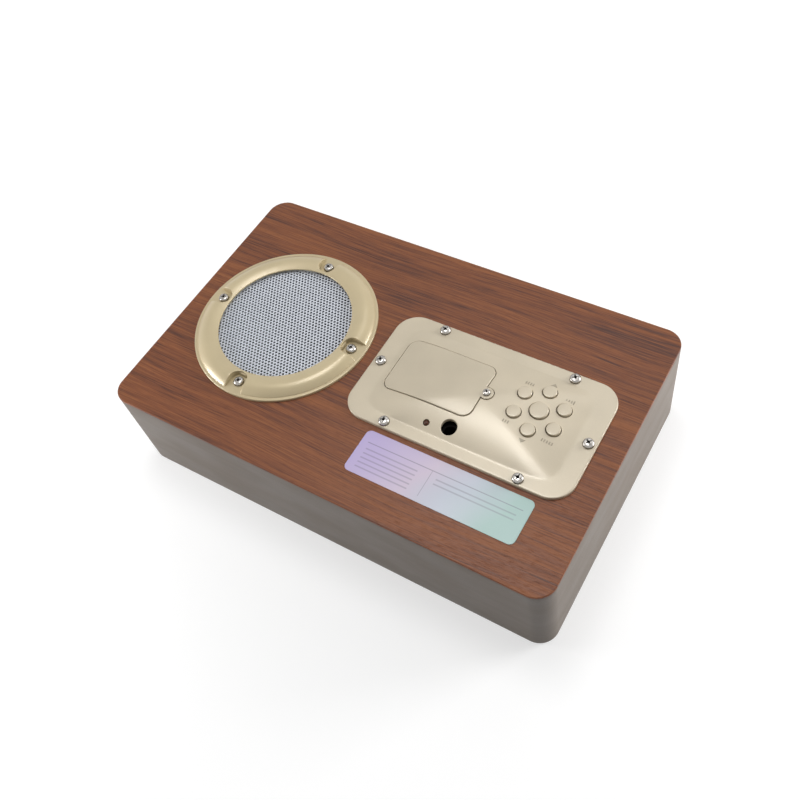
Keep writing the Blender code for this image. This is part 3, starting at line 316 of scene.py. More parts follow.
def walnut_finish(settings):
    """Oiled walnut: straight fine grain along x, long thin dark lines and open pores."""
    name = "Walnut veneer"
    if name in bpy.data.materials:
        return bpy.data.materials[name]
    finish = Finish(name, IOR=1.42, Coat_Roughness=0.34)
    drift = finish.grain((0.160, 0.040, 0.040), 1.0)
    lift = finish.node("ShaderNodeCombineXYZ", {"Y": (drift - 0.5) * 0.010})
    wavy = finish.vector("ADD", finish.place, lift)
    broad = finish.grain((0.200, 0.0170, 0.0170), 2.0, 0.5, wavy)
    streak = finish.grain((0.070, 0.0026, 0.0026), 4.0, 0.60, wavy)
    fibre = finish.grain((0.026, 0.0006, 0.0006), 3.0, 0.6, wavy)
    tone = broad * 0.20 + streak * 0.34 + fibre * 0.52 - 0.03
    wood = finish.ramp(tone, (0.38, settings.walnut_dark), (0.48, settings.walnut_mid),
                       (0.60, settings.walnut_light))
    line = finish.between(finish.grain((0.085, 0.0010, 0.0010), 2.0, 0.5, wavy), 0.57, 0.68)
    pore = finish.between(finish.grain((0.0046, 0.0003, 0.0003), 1.0, 0.5, wavy), 0.57, 0.68)
    finish.feed("Base Color", finish.mix(line * 0.38 + pore * 0.30, wood, settings.walnut_dark))
    finish.gloss(streak + pore * 0.3, 0.40, 0.54, 0.3, 0.9)
    finish.bump(fibre * 0.4 - pore * 0.6, 0.00005)
    return finish.material


def lacquer_finish(base):
    """Lacquer sprayed over sanded board: faint long streaks and a soft orange peel."""
    finish = Finish("Taupe lacquer", IOR=1.37)
    streak = finish.grain((0.050, 0.050, 0.0030), 3.0, 0.6)
    cloud = finish.grain((0.040, 0.040, 0.016), 2.0)
    speck = finish.grain((0.0012, 0.0012, 0.0006), 1.0)
    tone = streak * 0.5 + cloud * 0.4 + speck * 0.1
    finish.feed("Base Color", finish.ramp(tone, (0.36, shade(base, 0.93)), (0.50, base),
                                          (0.64, shade(base, 1.06))))
    finish.gloss(cloud, 0.38, 0.48, 0.35, 0.65)
    finish.bump(finish.grain(0.0009, 1.0) + streak * 0.5, 0.00004)
    return finish.material


def board_finish(base, opening=0.046, shade_end=0.043):
    """Raw fibreboard, with painted shade round the loudspeaker's opening, where the grille's holes
    look in.
    """
    finish = Finish("Fibreboard")
    fibre = finish.grain((0.0012, 0.0012, 0.0008), 3.0, 0.6)
    cloud = finish.grain((0.011, 0.011, 0.007), 1.0)
    raw = finish.shaded(fibre * 0.65 + cloud * 0.35, 0.36, 0.64, base, 0.78, 1.22)
    level = finish.vector("MULTIPLY", finish.place, (1, 1, 0))
    apart = finish.vector("DISTANCE", level, (*ring.centre, 0), 1)
    # Painted shade: the board turns near black inside the opening radius, where the grille's holes
    # look in.
    painted_shade_ring = finish.between(apart + cloud * 0.003, opening, shade_end)
    finish.feed("Base Color", finish.mix(painted_shade_ring, raw, linear(20, 19, 20)))
    finish.gloss(fibre, 0.82, 0.94)
    finish.bump(fibre, 0.0001)
    return finish.material


def gold_finish(name, base, roughness=0.32, metallic=0.12):
    """Champagne gold paint: fine bright flakes in a satin coat, and a slow cloudiness."""
    finish = Finish(name, IOR=1.46, Metallic=metallic, Coat_Roughness=0.20, Coat_Weight=0.45)
    flake = finish.grain(0.00022, 1.0)
    cloud = finish.grain(0.020, 2.0)
    fleck = finish.between(flake, 0.42, 0.66)
    body = finish.shaded(cloud, 0.35, 0.65, base, 0.96, 1.03)
    finish.feed("Base Color", finish.mix(fleck * 0.22, body, shade(base, 1.20)))
    finish.gloss(flake + cloud * 0.5, roughness - 0.03, roughness + 0.05, 0.5, 1.0)
    finish.bump(finish.grain(0.0007, 1.0) + flake * 0.3, 0.000014)
    return finish.material


def speckled_finish(name, base, sizes, contrast, roughness, relief=0.00003, **constants):
    """A moulded, cast or painted skin: two scales of mottling, uneven gloss, fine relief."""
    finish = Finish(name, **constants)
    mottle = finish.grain(sizes, 3.0, 0.6)
    slow = finish.grain(tuple(size * 9 for size in three(sizes)), 1.0)
    finish.feed("Base Color", finish.shaded(mottle * 0.65 + slow * 0.35, 0.36, 0.64, base,
                                            1 - contrast, 1 + contrast))
    finish.gloss(mottle, roughness - 0.06, roughness + 0.06)
    finish.bump(mottle, relief)
    return finish.material


def streaked_finish(name, sizes, detail, stops, roughness, relief=0.0, **constants):
    """A skin with one noise in its colour, its gloss and its relief."""
    finish = Finish(name, **constants)
    streak = finish.grain(sizes, detail)
    finish.feed("Base Color", finish.ramp(streak, *stops))
    finish.gloss(streak, *roughness)
    if relief:
        finish.bump(streak, relief)
    return finish.material


def circuit_finish(name, track_pitch=0.00127):
    """Green circuit board: solder mask over tracks, and tinned pads on a regular grid."""
    finish = Finish(name, IOR=1.5)
    mask = finish.grain((0.006, 0.002, 0.01), 2.0)
    x, y = finish.along("X"), finish.along("Y")
    run = (y / track_pitch).math("FRACT")
    lane = finish.between(run, 0.30, 0.36) * finish.between(run, 0.70, 0.64)
    routed = finish.between(finish.grain((0.011, 0.0013, 0.01), 1.0), 0.47, 0.50)
    aside, ahead = ((way / (2 * track_pitch)).math("FRACT") - 0.5 for way in (x, y))
    reach = (aside * aside + ahead * ahead).math("SQRT")
    filled = finish.between(finish.grain((0.007, 0.007, 0.01)), 0.52, 0.54)
    pad = finish.between(reach, 0.26, 0.22) * filled
    green = finish.ramp(mask, (0.35, linear(16, 74, 46)), (0.65, linear(24, 92, 58)))
    track = finish.mix(lane * routed, green, linear(52, 124, 74))
    finish.feed("Base Color", finish.mix(pad, track, linear(196, 196, 188)))
    finish.feed("Metallic", pad * 0.9)
    finish.gloss(mask, 0.30, 0.42)
    finish.bump(lane * routed + pad, 0.00003)
    return finish.material


def woven_finish(name, base, pitch=0.0007):
    """Treated cloth: an over and under weave with uneven threads."""
    finish = Finish(name, Sheen_Weight=0.15)
    warp, weft = ((finish.along(axis) * (math.tau / pitch)).math("SINE") for axis in "XY")
    thread = warp * weft
    wear = finish.grain(0.004, 3.0)
    finish.feed("Base Color", finish.shaded(thread * 0.2 + wear, 0.3, 0.7, base, 0.7, 1.2))
    finish.gloss(wear, 0.75, 0.92)
    finish.bump(thread, 0.00008)
    return finish.material


def copper_finish(pitch=0.00025):
    """Copper wire wound turn by turn."""
    finish = Finish("Copper winding", Metallic=0.9)
    turns = (finish.along("Z") / pitch).math("FRACT")
    finish.feed("Base Color", finish.ramp(turns, (0.1, linear(120, 62, 34)),
                                          (0.6, linear(206, 124, 76))))
    finish.gloss(turns, 0.42, 0.28, 0.0, 1.0)
    finish.bump(turns, 0.00004)
    return finish.material


def nickel_finish(settings):
    """Nickel plate, with painted shade in the cross and round the head's foot, from the attribute
    named shadow.
    """
    finish = Finish("Nickel plate", Metallic=1.0)
    smear = finish.grain(0.0011, 3.0)
    shadow = finish.node("ShaderNodeAttribute", output="Fac", attribute_name="shadow")
    plate = finish.shaded(smear, 0.3, 0.7, settings.nickel, 0.80, 1.0)
    finish.feed("Base Color", finish.mix(shadow, plate, settings.recess))
    finish.gloss(smear + shadow * 0.5, 0.16, 0.45, 0.3, 1.0)
    finish.bump(finish.grain(0.0004), 0.000006)
    return finish.material


def label_finish(settings, box):
    """Pearly film that runs from lavender to mint, with plain printed rules and no words."""
    finish = Finish("Pearly label", IOR=1.5, Coat_Roughness=0.12, Coat_Weight=0.15)
    along = (finish.along("X") - box.low.x) / box.size.x
    up = (finish.along("Y") - box.low.y) / box.size.y
    drift = finish.grain(0.030, 1.0)
    film = finish.ramp(along + up * -0.10 + (drift - 0.5) * 0.25 + 0.05,
                       (0.02, settings.left), (0.42, settings.middle),
                       (0.62, linear(190, 196, 208)), (0.88, settings.right))

    def band(value, start, end, soft):
        """1 from start to end, with soft sides, else 0."""
        return (finish.between(value, start - soft, start + soft)
                * finish.between(value, end + soft, end - soft))

    head = band(up, 0.722, 0.740, 0.006) * band(along, 0.04, 0.96, 0.002)
    divider = band(along, 0.440, 0.4430, 0.001) * band(up, 0.12, 0.72, 0.006)
    rule = band((up * 9.4).math("FRACT"), 0.38, 0.66, 0.07)
    left_rule = rule * band(along, 0.05, 0.37, 0.002) * band(up, 0.13, 0.66, 0.004)
    right_rule = rule * band(along, 0.48, 0.94, 0.002) * band(up, 0.44, 0.66, 0.004)
    ink = head * 0.60 + divider * 0.55 + (left_rule + right_rule) * 0.40
    finish.feed("Base Color", finish.mix(ink, film, settings.rules))
    finish.gloss(drift, 0.34, 0.42)
    finish.bump(finish.grain(0.0016, 1.0), 0.00001)
    return finish.material


def rounded_rectangle(long, wide, radius, centre=(0, 0), steps=16):
    """Outline of a rectangle with round corners, anticlockwise from the right side's top."""
    outline = []
    for quarter, (side_x, side_y) in enumerate(((1, 1), (-1, 1), (-1, -1), (1, -1))):
        corner = (centre[0] + side_x * (long / 2 - radius),
                  centre[1] + side_y * (wide / 2 - radius))
        outline += arc(radius, math.pi / 2 * quarter, math.pi / 2 * (quarter + 1), corner, steps)
    return outline


def arc(radius, start, end, centre=(0, 0), steps=16):
    """Points of an arc, both ends with it."""
    turns = [start + (end - start) * step / steps for step in range(steps + 1)]
    return [Vector((centre[0] + radius * math.cos(turn), centre[1] + radius * math.sin(turn)))
            for turn in turns]


def circle(radius, centre=(0, 0), steps=48):
    """Outline of a circle."""
    return arc(radius, 0, math.tau, centre, steps)[:-1]


def neighbours(outline):
    """Each point of a closed outline, with the one before it and the one after it."""
    return zip(outline[-1:] + outline[:-1], outline, outline[1:] + outline[:1])


def divided(outline, spacing):
    """The outline with more points on its long sides."""
    points = []
    for _, here, after in neighbours(outline):
        count = max(1, round((after - here).length / spacing))
        points += [here.lerp(after, step / count) for step in range(count)]
    return points


def propped(outline, long=0.02, share=0.03):
    """The outline with a point near each end of its long sides, which keeps them flat."""
    points = []
    for _, here, after in neighbours(outline):
        points.append(here)
        if (after - here).length > long:
            points += [here.lerp(after, share), here.lerp(after, 1 - share)]
    return points


def inset(outline, distance):
    """The outline moved to its left side, which is inwards for one that runs anticlockwise."""
    moved = []
    for before, here, after in neighbours(outline):
        first = (here - before).normalized()
        second = (after - here).normalized()
        side = Vector((-first.y - second.y, first.x + second.x)).normalized()
        reach = max(0.4, side.dot(Vector((-first.y, first.x))))
        moved.append(here + side * (distance / reach))
    return moved


def filleted(corners, steps=5):
    """A section whose corners given as (radius, level, rounding) are rounded."""
    points = []
    for before, here, after in neighbours(corners):
        corner = Vector(here[:2])
        if len(here) == 2:
            points.append(corner)
            continue
        back = (Vector(before[:2]) - corner).normalized()
        ahead = (Vector(after[:2]) - corner).normalized()
        half = back.angle(ahead) / 2
        middle = corner + (back + ahead).normalized() * (here[2] / math.sin(half))
        start = corner + back * (here[2] / math.tan(half)) - middle
        end = corner + ahead * (here[2] / math.tan(half)) - middle
        sweep = start.angle(end)
        points += [middle + (start * math.sin(sweep * (1 - step / steps))
                             + end * math.sin(sweep * step / steps)) / math.sin(sweep)
                   for step in range(steps + 1)]
    return points


def quarter_round(size, steps):
    """Drop and setback of each line of a rounded edge, from its side to its top."""
    turns = [math.pi / 2 * step / steps for step in range(steps + 1)] if size else []
    return [(size * (1 - math.sin(turn)), size * (1 - math.cos(turn))) for turn in turns]


def first_numbers(rows):
    """The number of each row's first point, with all points counted on."""
    return [sum(map(len, rows[:number])) for number in range(len(rows))]


def woven_rows(rows, around=False):
    """Points and faces of a skin over rows of points. A row of one point is a pole."""
    starts = first_numbers(rows)
    faces = []
    for number in range(len(rows) - (0 if around else 1)):
        other = (number + 1) % len(rows)
        for step in range(max(map(len, rows))):
            corners = [starts[row] + turn % len(rows[row])
                       for row, turn in ((number, step), (number, step + 1),
                                         (other, step + 1), (other, step))]
            faces.append(tuple(dict.fromkeys(corners)))
    return [point for row in rows for point in row], faces


def turned(section, centre=(0, 0), steps=48, around=False):
    """Points and faces of a round body from its section of radius and level."""
    return woven_rows([[(*place, level) for place in
                        (circle(radius, centre, steps) if radius > 1e-7 else [centre])]
                       for radius, level in section], around)


def inside(places, outline, holes=()):
    """Which of the places lie inside an outline and outside its holes."""
    start = np.array([tuple(point) for point in outline])
    end = np.roll(start, -1, axis=0)
    x, y = places[:, :1], places[:, 1:]
    crosses = (start[:, 1] > y) != (end[:, 1] > y)
    with np.errstate(divide="ignore", invalid="ignore"):
        slope = (end[:, 0] - start[:, 0]) / (end[:, 1] - start[:, 1])
        found = ((x < start[:, 0] + (y - start[:, 1]) * slope) & crosses).sum(axis=1) % 2 == 1
    for hole in holes:
        found &= ~inside(places, hole)
    return found


def rule(level):
    """A face's level as a function of the place, from such a function or a plain number."""
    return level if callable(level) else lambda x, y: level


def moulded(outline, top, under, edge, holes=(), hole_edge=0.0, free=(), spacing=0.001,
            creases=(), facing=1, steps=4, land=0.0002):
    """Points and faces of a closed plate with rounded rims.

    top and under give the level of its two faces at a place. free are places on its face, and
    creases are outlines with a level rule of their own. The rounded face looks up, or down for
    a facing of -1. A level land follows each rounded rim.
    """
    top, under = rule(top), rule(under)
    loops, rules, rims = [], [], []
    for number, loop in enumerate([outline, *holes]):
        size, side = (hole_edge, -1) if number else (edge, 1)
        rims.append(len(loops))
        for drop, back in quarter_round(size, steps):
            loops.append(inset(loop, side * back))
            rules.append(lambda x, y, drop=drop: top(x, y) - facing * drop)
        loops.append(inset(loop, side * (size * 1.5 + land)) if size else loop)
        rules.append(top)
    loops += [loop for loop, _ in creases]
    rules += [rule(level) for _, level in creases]
    borders = np.array([tuple(point) for loop in loops for point in loop])
    if len(free):
        free = np.array(free)
        free = free[inside(free, outline, holes)]
        gaps = [np.hypot(*(borders - place).T).min() for place in free]
        free = free[np.array(gaps) > spacing * 0.45]
    places = [*map(tuple, borders), *map(tuple, free)]
    levels = [level(*point) for loop, level in zip(loops, rules) for point in loop]
    levels += [top(*place) for place in free]
    starts = first_numbers(loops)
    sides = [(start + step, start + (step + 1) % len(loop))
             for start, loop in zip(starts, loops) for step in range(len(loop))]
    flat = delaunay_2d_cdt([Vector(place) * 1000 for place in places], sides, [], 0, 1e-5)
    found = [tuple(point / 1000) for point in flat[0]]
    heights = [levels[first[0]] if first else top(*place) for place, first in zip(found, flat[3])]
    triangles = [tuple(face) for face in flat[2]]
    middles = np.array(found)[np.array(triangles)].mean(axis=1)
    kept = inside(middles, outline, holes)
    triangles = [face for face, keep in zip(triangles, kept) if keep]
    index = {first: number for number, group in enumerate(flat[3]) for first in group}
    count = len(found)
    points = [(*place, height) for place, height in zip(found, heights)]
    points += [(*place, under(*place)) for place in found]
    faces = triangles + [tuple(corner + count for corner in reversed(face)) for face in triangles]
    for rim in rims:
        numbers = [index[starts[rim] + step] for step in range(len(loops[rim]))]
        faces += [(here + count, after + count, after, here)
                  for _, here, after in neighbours(numbers)]
    return points, faces


def dressed(mesh, angle=35):
    """Turns the faces outwards and shades them smooth with crisp edges."""
    shape = bmesh.new()
    shape.from_mesh(mesh)
    loose = [point for point in shape.verts if not point.link_faces]
    bmesh.ops.delete(shape, geom=loose, context="VERTS")
    bmesh.ops.recalc_face_normals(shape, faces=shape.faces)
    shape.to_mesh(mesh)
    shape.free()
    mesh.shade_smooth()
    mesh.set_sharp_from_angle(angle=math.radians(angle))
    return mesh


def closed_mesh(name, *shells, angle=35):
    """One mesh of one or more closed shells, each given as points and faces."""
    points, faces = [], []
    for shell_points, shell_faces in shells:
        faces += [tuple(corner + len(points) for corner in face) for face in shell_faces]
        points += [tuple(point) for point in shell_points]
    mesh = bpy.data.meshes.new(name)
    mesh.from_pydata(points, [], faces)
    return dressed(mesh, angle)


def placed(name, data):
    """A new object of the scene."""
    item = bpy.data.objects.new(name, data)
    bpy.context.scene.collection.objects.link(item)
    return item


def piece(name, shells, material, slot, *stands_for, body="case", angle=35):
    """Adds a finished piece: it rides on a body and may stand for CAD nodes.

    shells is a finished mesh or a list of closed shells.
    """
    mesh = closed_mesh(name, *shells, angle=angle) if isinstance(shells, list) else shells
    item = placed(name, mesh)
    mesh.materials.clear()
    mesh.materials.append(material)
    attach(item, body)
    if stands_for:
        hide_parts(*stands_for)


def refinish(material, *names):
    """Gives CAD nodes that stay in view a better material."""
    for name in names:
        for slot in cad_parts[name].material_slots:
            slot.material = material


class Box:
    """The room that a CAD node takes up."""

    def __init__(self, name):
        self.low, self.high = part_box(name)
        self.size = self.high - self.low
        self.centre = ((self.low + self.high) / 2).xy

    def outline(self, radius, steps=16):
        """A rectangle with round corners that fills the box, seen from above."""
        return rounded_rectangle(self.size.x, self.size.y, radius, self.centre, steps)

    def lattice(self, spacing, start=0.0):
        """Places on a square grid over the box."""
        across, along = (np.arange(self.low[axis] + start, self.high[axis], spacing)
                         for axis in (0, 1))
        return [(x, y) for x in across for y in along]


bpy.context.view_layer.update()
case, back, ring, panel = (
    Box(name) for name in ("cabinet_frame", "back_laminate", "speaker_ring", "control_panel"))
back_face = back.high.z
hair = 0.00002
button_names = ("button_centre", "button_upper_right", "button_up", "button_upper_left",
                "button_lower_left", "button_down", "button_lower_right")


class Recipe(NodeMaker):
    """A Geometry Nodes tree with named inputs."""
    kinds = {float: "NodeSocketFloat", int: "NodeSocketInt", tuple: "NodeSocketVector",
             bpy.types.Object: "NodeSocketObject", bpy.types.Material: "NodeSocketMaterial"}

    def __init__(self, name, **inputs):
        super().__init__(bpy.data.node_groups.new(name, "GeometryNodeTree"))
        face = self.tree.interface
        self.values = {}
        face.new_socket("Geometry", in_out="INPUT", socket_type="NodeSocketGeometry")
        for label, value in inputs.items():
            label = label.replace("_", " ").capitalize()
            socket = face.new_socket(label, in_out="INPUT", socket_type=self.kinds[type(value)])
            self.values[socket.identifier] = value
        face.new_socket("Geometry", in_out="OUTPUT", socket_type="NodeSocketGeometry")
        self.given = self.node("NodeGroupInput")
        self.result = self.tree.nodes.new("NodeGroupOutput")

    def geometry(self, kind, inputs=None, **settings):
        return self.node("GeometryNode" + kind, inputs, **settings)

    def end(self, shape):
        """Closes the tree: real copies, then the material."""
        shape = self.geometry("RealizeInstances", {0: shape})
        shape = self.geometry("SetMaterial", {"Geometry": shape,
                                              "Material": self.given.other("Material")})
        self.join(shape, self.result.inputs[0])

    def run(self, mesh):
        """Runs the tree on a mesh and gives the plain mesh that comes out."""
        item = placed(mesh.name, mesh)
        modifier = item.modifiers.new(self.tree.name, "NODES")
        modifier.node_group = self.tree
        for identifier, value in self.values.items():
            modifier[identifier] = value
        view = bpy.context.evaluated_depsgraph_get()
        made = bpy.data.meshes.new_from_object(item.evaluated_get(view))
        item.modifiers.remove(modifier)
        bpy.data.objects.remove(item)
        if not made.polygons:
            raise RuntimeError(f"{self.tree.name} made nothing")
        return dressed(made)


def perforated_sheet(skirt, radius, settings, centre, material, overlap=0.0006):
    """A round steel sheet with rows of round holes, joined to its skirt."""
    open_radius = settings.opening_radius + overlap
    recipe = Recipe("Perforated sheet", radius=radius, open_radius=open_radius,
                    hole_pitch=settings.hole_pitch, hole_radius=settings.hole_size / 2,
                    thickness=settings.sheet_thickness, centre=centre, material=material)
    given = recipe.given
    step = given.other("Hole pitch")
    lean = math.cos(math.pi / 6)
    row = step * lean
    count = 2 * math.ceil(open_radius / (settings.hole_pitch * lean)) + 1
    grid = recipe.geometry("MeshGrid", {"Size X": step * (count - 1), "Size Y": row * (count - 1),
                                        "Vertices X": count, "Vertices Y": count})
    place = recipe.geometry("InputPosition")
    level = recipe.node("ShaderNodeSeparateXYZ", {0: place}, 1) / row
    odd = level.math("ROUND").math("ABSOLUTE").math("MODULO", 2.0)
    shift = recipe.node("ShaderNodeCombineXYZ", {"X": odd * step * 0.5})
    rows = recipe.geometry("SetPosition", {"Geometry": grid, "Offset": shift})
    reach = recipe.node("ShaderNodeVectorMath", {0: recipe.geometry("InputPosition")}, 1,
                        operation="LENGTH")
    far = reach.math("GREATER_THAN", given.other("Open radius"))
    rows = recipe.geometry("DeleteGeometry", {"Geometry": rows, "Selection": far}, domain="POINT")
    mouth = recipe.geometry("CurvePrimitiveCircle", {"Resolution": 12,
                                                     "Radius": given.other("Hole radius")})
    mouths = recipe.geometry("InstanceOnPoints", {"Points": rows, "Instance": mouth})
    mouths = recipe.geometry("RealizeInstances", {0: mouths})
    rim = recipe.geometry("CurvePrimitiveCircle", {"Resolution": 144,
                                                   "Radius": given.other("Radius")})
    lines = recipe.geometry("JoinGeometry", {0: [mouths, rim]})
    sheet = recipe.geometry("FillCurve", {"Curve": lines}, mode="TRIANGLES")
    sheet = recipe.geometry("Transform", {"Geometry": sheet, "Translation": given.other("Centre")})
    drop = recipe.node("ShaderNodeCombineXYZ", {"Z": given.other("Thickness") * -1.0})
    walls = recipe.geometry("ExtrudeMesh", {"Mesh": sheet, "Offset": drop, "Offset Scale": 1.0,
                                            "Individual": False})
    body = recipe.geometry("JoinGeometry", {0: [sheet, walls]})
    body = recipe.geometry("MergeByDistance", {"Geometry": body, "Distance": 1e-6})
    recipe.end(recipe.geometry("JoinGeometry", {0: [body, given]}))
    return recipe.run(skirt)


def set_out(name, shape, places, material, spread=0.0, seed=0):
    """Copies of a shape at places given as x, y, level and turn, turned a little by chance."""
    original = placed(name + " shape", shape)
    points = bpy.data.meshes.new(name)
    points.from_pydata([place[:3] for place in places], [], [])
    turns = points.attributes.new("turn", "FLOAT", "POINT")
    turns.data.foreach_set("value", [place[3] for place in places])
    recipe = Recipe(name, shape=original, turn_spread=float(spread), seed=seed, material=material)
    given = recipe.given
    chance = recipe.node("FunctionNodeRandomValue", {2: -1.0, 3: 1.0, 8: given.other("Seed")}, 1,
                         data_type="FLOAT")
    turn = recipe.geometry("InputNamedAttribute", {"Name": "turn"}, data_type="FLOAT")
    turn = recipe.node("ShaderNodeCombineXYZ", {"Z": turn + chance * given.other("Turn spread")})
    copy = recipe.node("GeometryNodeObjectInfo", {"Object": given.other("Shape")}, "Geometry")
    recipe.end(recipe.geometry("InstanceOnPoints", {"Points": given, "Instance": copy,
                                                    "Rotation": turn}))
    made = recipe.run(points)
    bpy.data.objects.remove(original)
    return made


def crown_reach(x, y, settings, power=9):
    """How far out a place is from the panel's middle, 1 on the outline of its crown."""
    return (abs(x / settings.crown_length * 2) ** power
            + abs(y / settings.crown_width * 2) ** power) ** (1 / power)


def panel_surface(settings):
    """Rule for the level of the panel's face at a place of the clock."""
    def level(x, y):
        reach = crown_reach(x - panel.centre.x, y - panel.centre.y, settings)
        share = 1 - reach * reach
        rise = (share + math.sqrt(share * share + settings.crown_softness ** 2)) / 2
        return back_face + settings.flange_height + settings.crown_height * rise
    return level


def cover_outline(settings, grow=0.0):
    """Outline of the battery cover with its round screw tab, widened all round."""
    box = Box("battery_cover")
    tab = box.high.x - settings.tab_radius
    centre = (tab - settings.tab_reach - settings.cover_length / 2, box.centre.y)
    radius = settings.tab_radius + grow
    half = math.pi - math.acos((settings.tab_reach - grow) / radius)
    outline = rounded_rectangle(settings.cover_length + 2 * grow, box.size.y + 2 * grow,
                                settings.cover_radius + grow, centre, 10)
    outline += arc(radius, -half, half, (tab, centre[1]), 24)
    return divided(outline, 0.001)


class CLOCK_OT_case(bpy.types.Operator):
    """Side walls, walnut veneer and the board behind it"""
    bl_idname = "clock.case"
    bl_label = "Case"

    def execute(self, context):
        own, trim = context.scene.clock_case, context.scene.clock_trim
        joint, margin, top_round, least_radius = 0.00005, 0.003, 0.0003, 0.002
        clearance, bay_length, bay_width, bay_corner = 0.0005, 0.102, 0.0542, 0.003
        top = back.low.z - joint
        section = filleted([(0, 0, own.rim_round), (0, margin), (0, top - margin),
                            (0, top, top_round), (own.wall, top), (own.wall, 0)])
        rows = []
        for depth, level in section:
            outline = rounded_rectangle(case.size.x - 2 * depth, case.size.y - 2 * depth,
                                        max(own.corner_radius - depth, least_radius), (0, 0), 24)
            rows.append([(*point, level) for point in propped(outline)])
        piece("case_walls", [woven_rows(rows, True)], lacquer_finish(own.lacquer),
              "taupe_lacquer", "cabinet_frame")
        holes = [circle(trim.opening_radius + clearance, ring.centre, 96),
                 rounded_rectangle(bay_length, bay_width, bay_corner, panel.centre)]
        veneer = moulded(case.outline(own.corner_radius, 24), back_face, back.low.z,
                         own.veneer_round, holes)
        piece("back_veneer", [veneer], walnut_finish(own), "walnut_laminate", "back_laminate")
        refinish(board_finish(own.fibreboard), "back_board")
        pine = streaked_finish("Pine block", (0.0022, 0.0022, 0.03), 3.0,
                               ((0.4, linear(196, 160, 112)), (0.6, linear(218, 186, 140))),
                               (0.7, 0.85), 0.0001, IOR=1.45)
        refinish(pine, *(f"corner_block_{number}" for number in range(1, 5)))
        return {"FINISHED"}


class CLOCK_OT_front(bpy.types.Operator):
    """Walnut front, smoked window and the digits behind it"""
    bl_idname = "clock.front"
    bl_label = "Front"

    def execute(self, context):
        own, wood = context.scene.clock_display, context.scene.clock_case
        corner, window_corner, board_edge, glass_edge = 0.0027, 0.003, 0.0005, 0.0003
        board, glass = Box("front_board"), Box("display_lens")
        window = rounded_rectangle(wood.window_length, wood.window_height, window_corner)
        front = moulded(board.outline(corner), board.low.z, board.high.z, board_edge, [window],
                        wood.window_bevel, facing=-1)
        piece("front_panel", [front], walnut_finish(wood), "walnut_laminate", "front_board")
        lens = moulded(glass.outline(corner), glass.low.z, glass.high.z, glass_edge, facing=-1)
        smoke = Finish("Smoked acrylic", IOR=1.49, Coat_Weight=0.4, Coat_Roughness=0.04)
        smoke.feed("Base Color", smoke.shaded(smoke.grain(0.05), 0.3, 0.7, own.lens, 0.8, 1.2))
        smoke.feed("Alpha", smoke.between(smoke.grain(0.06), 0.3, 0.7, 0.60, 0.66))
        smoke.gloss(smoke.grain(0.004, 4.0), 0.06, 0.12)
        piece("window_lens", [lens], smoke.material, "smoked_acrylic", "display_lens")
        self.digits(own)
        return {"FINISHED"}

    @staticmethod
    def digits(own):
        """Blocks of the digits, and the milky bars and dots on them."""
        names = [*(f"display_digit_{number}" for number in range(1, 5)), "display_colon"]
        half, reach, wide = own.digit_height / 4, own.segment_length / 2, own.segment_width / 2
        proud, thick, bar_edge, end_gap = 0.00012, 0.0003, 0.0001, 1.14
        block_corner, block_edge, dot_radius, colon_rise = 0.0008, 0.0004, 0.0021, 0.008
        blocks, bars = [], []
        for name in names:
            box = Box(name)
            blocks.append(moulded(box.outline(block_corner, 6), box.low.z, box.high.z,
                                  block_edge, facing=-1))
            centre, level = box.centre, box.low.z - proud
            if name == "display_colon":
                dots = [(centre.x - own.slant * y, centre.y + y, level, 0.0)
                        for y in (-colon_rise, colon_rise)]
                continue
            for x, y in ((0, 2), (0, 0), (0, -2), (-1, 1), (1, 1), (-1, -1), (1, -1)):
                bars.append((centre.x + reach * x * end_gap - own.slant * y * half,
                             centre.y + y * half, level,
                             math.pi / 2 + math.atan(own.slant) if x else 0.0))
        black = speckled_finish("Matt black plastic", linear(34, 33, 34), 0.0008, 0.2, 0.55)
        piece("digit_blocks", blocks, black, "digit_face", *names)
        side = reach - wide
        hexagon = [Vector(place) for place in ((reach, 0), (side, wide), (-side, wide),
                                               (-reach, 0), (-side, -wide), (side, -wide))]
        milky = speckled_finish("Milky bars", own.segment, 0.001, 0.05, 0.4, 0.00001, IOR=1.49)
        for name, outline, places in (("digit_bars", hexagon, bars),
                                      ("colon_dots", circle(dot_radius, steps=24), dots)):
            shape = closed_mesh(name, moulded(outline, 0.0, thick, bar_edge, facing=-1, steps=2))
            piece(name, set_out(name, shape, places, milky), milky, "digit_face")


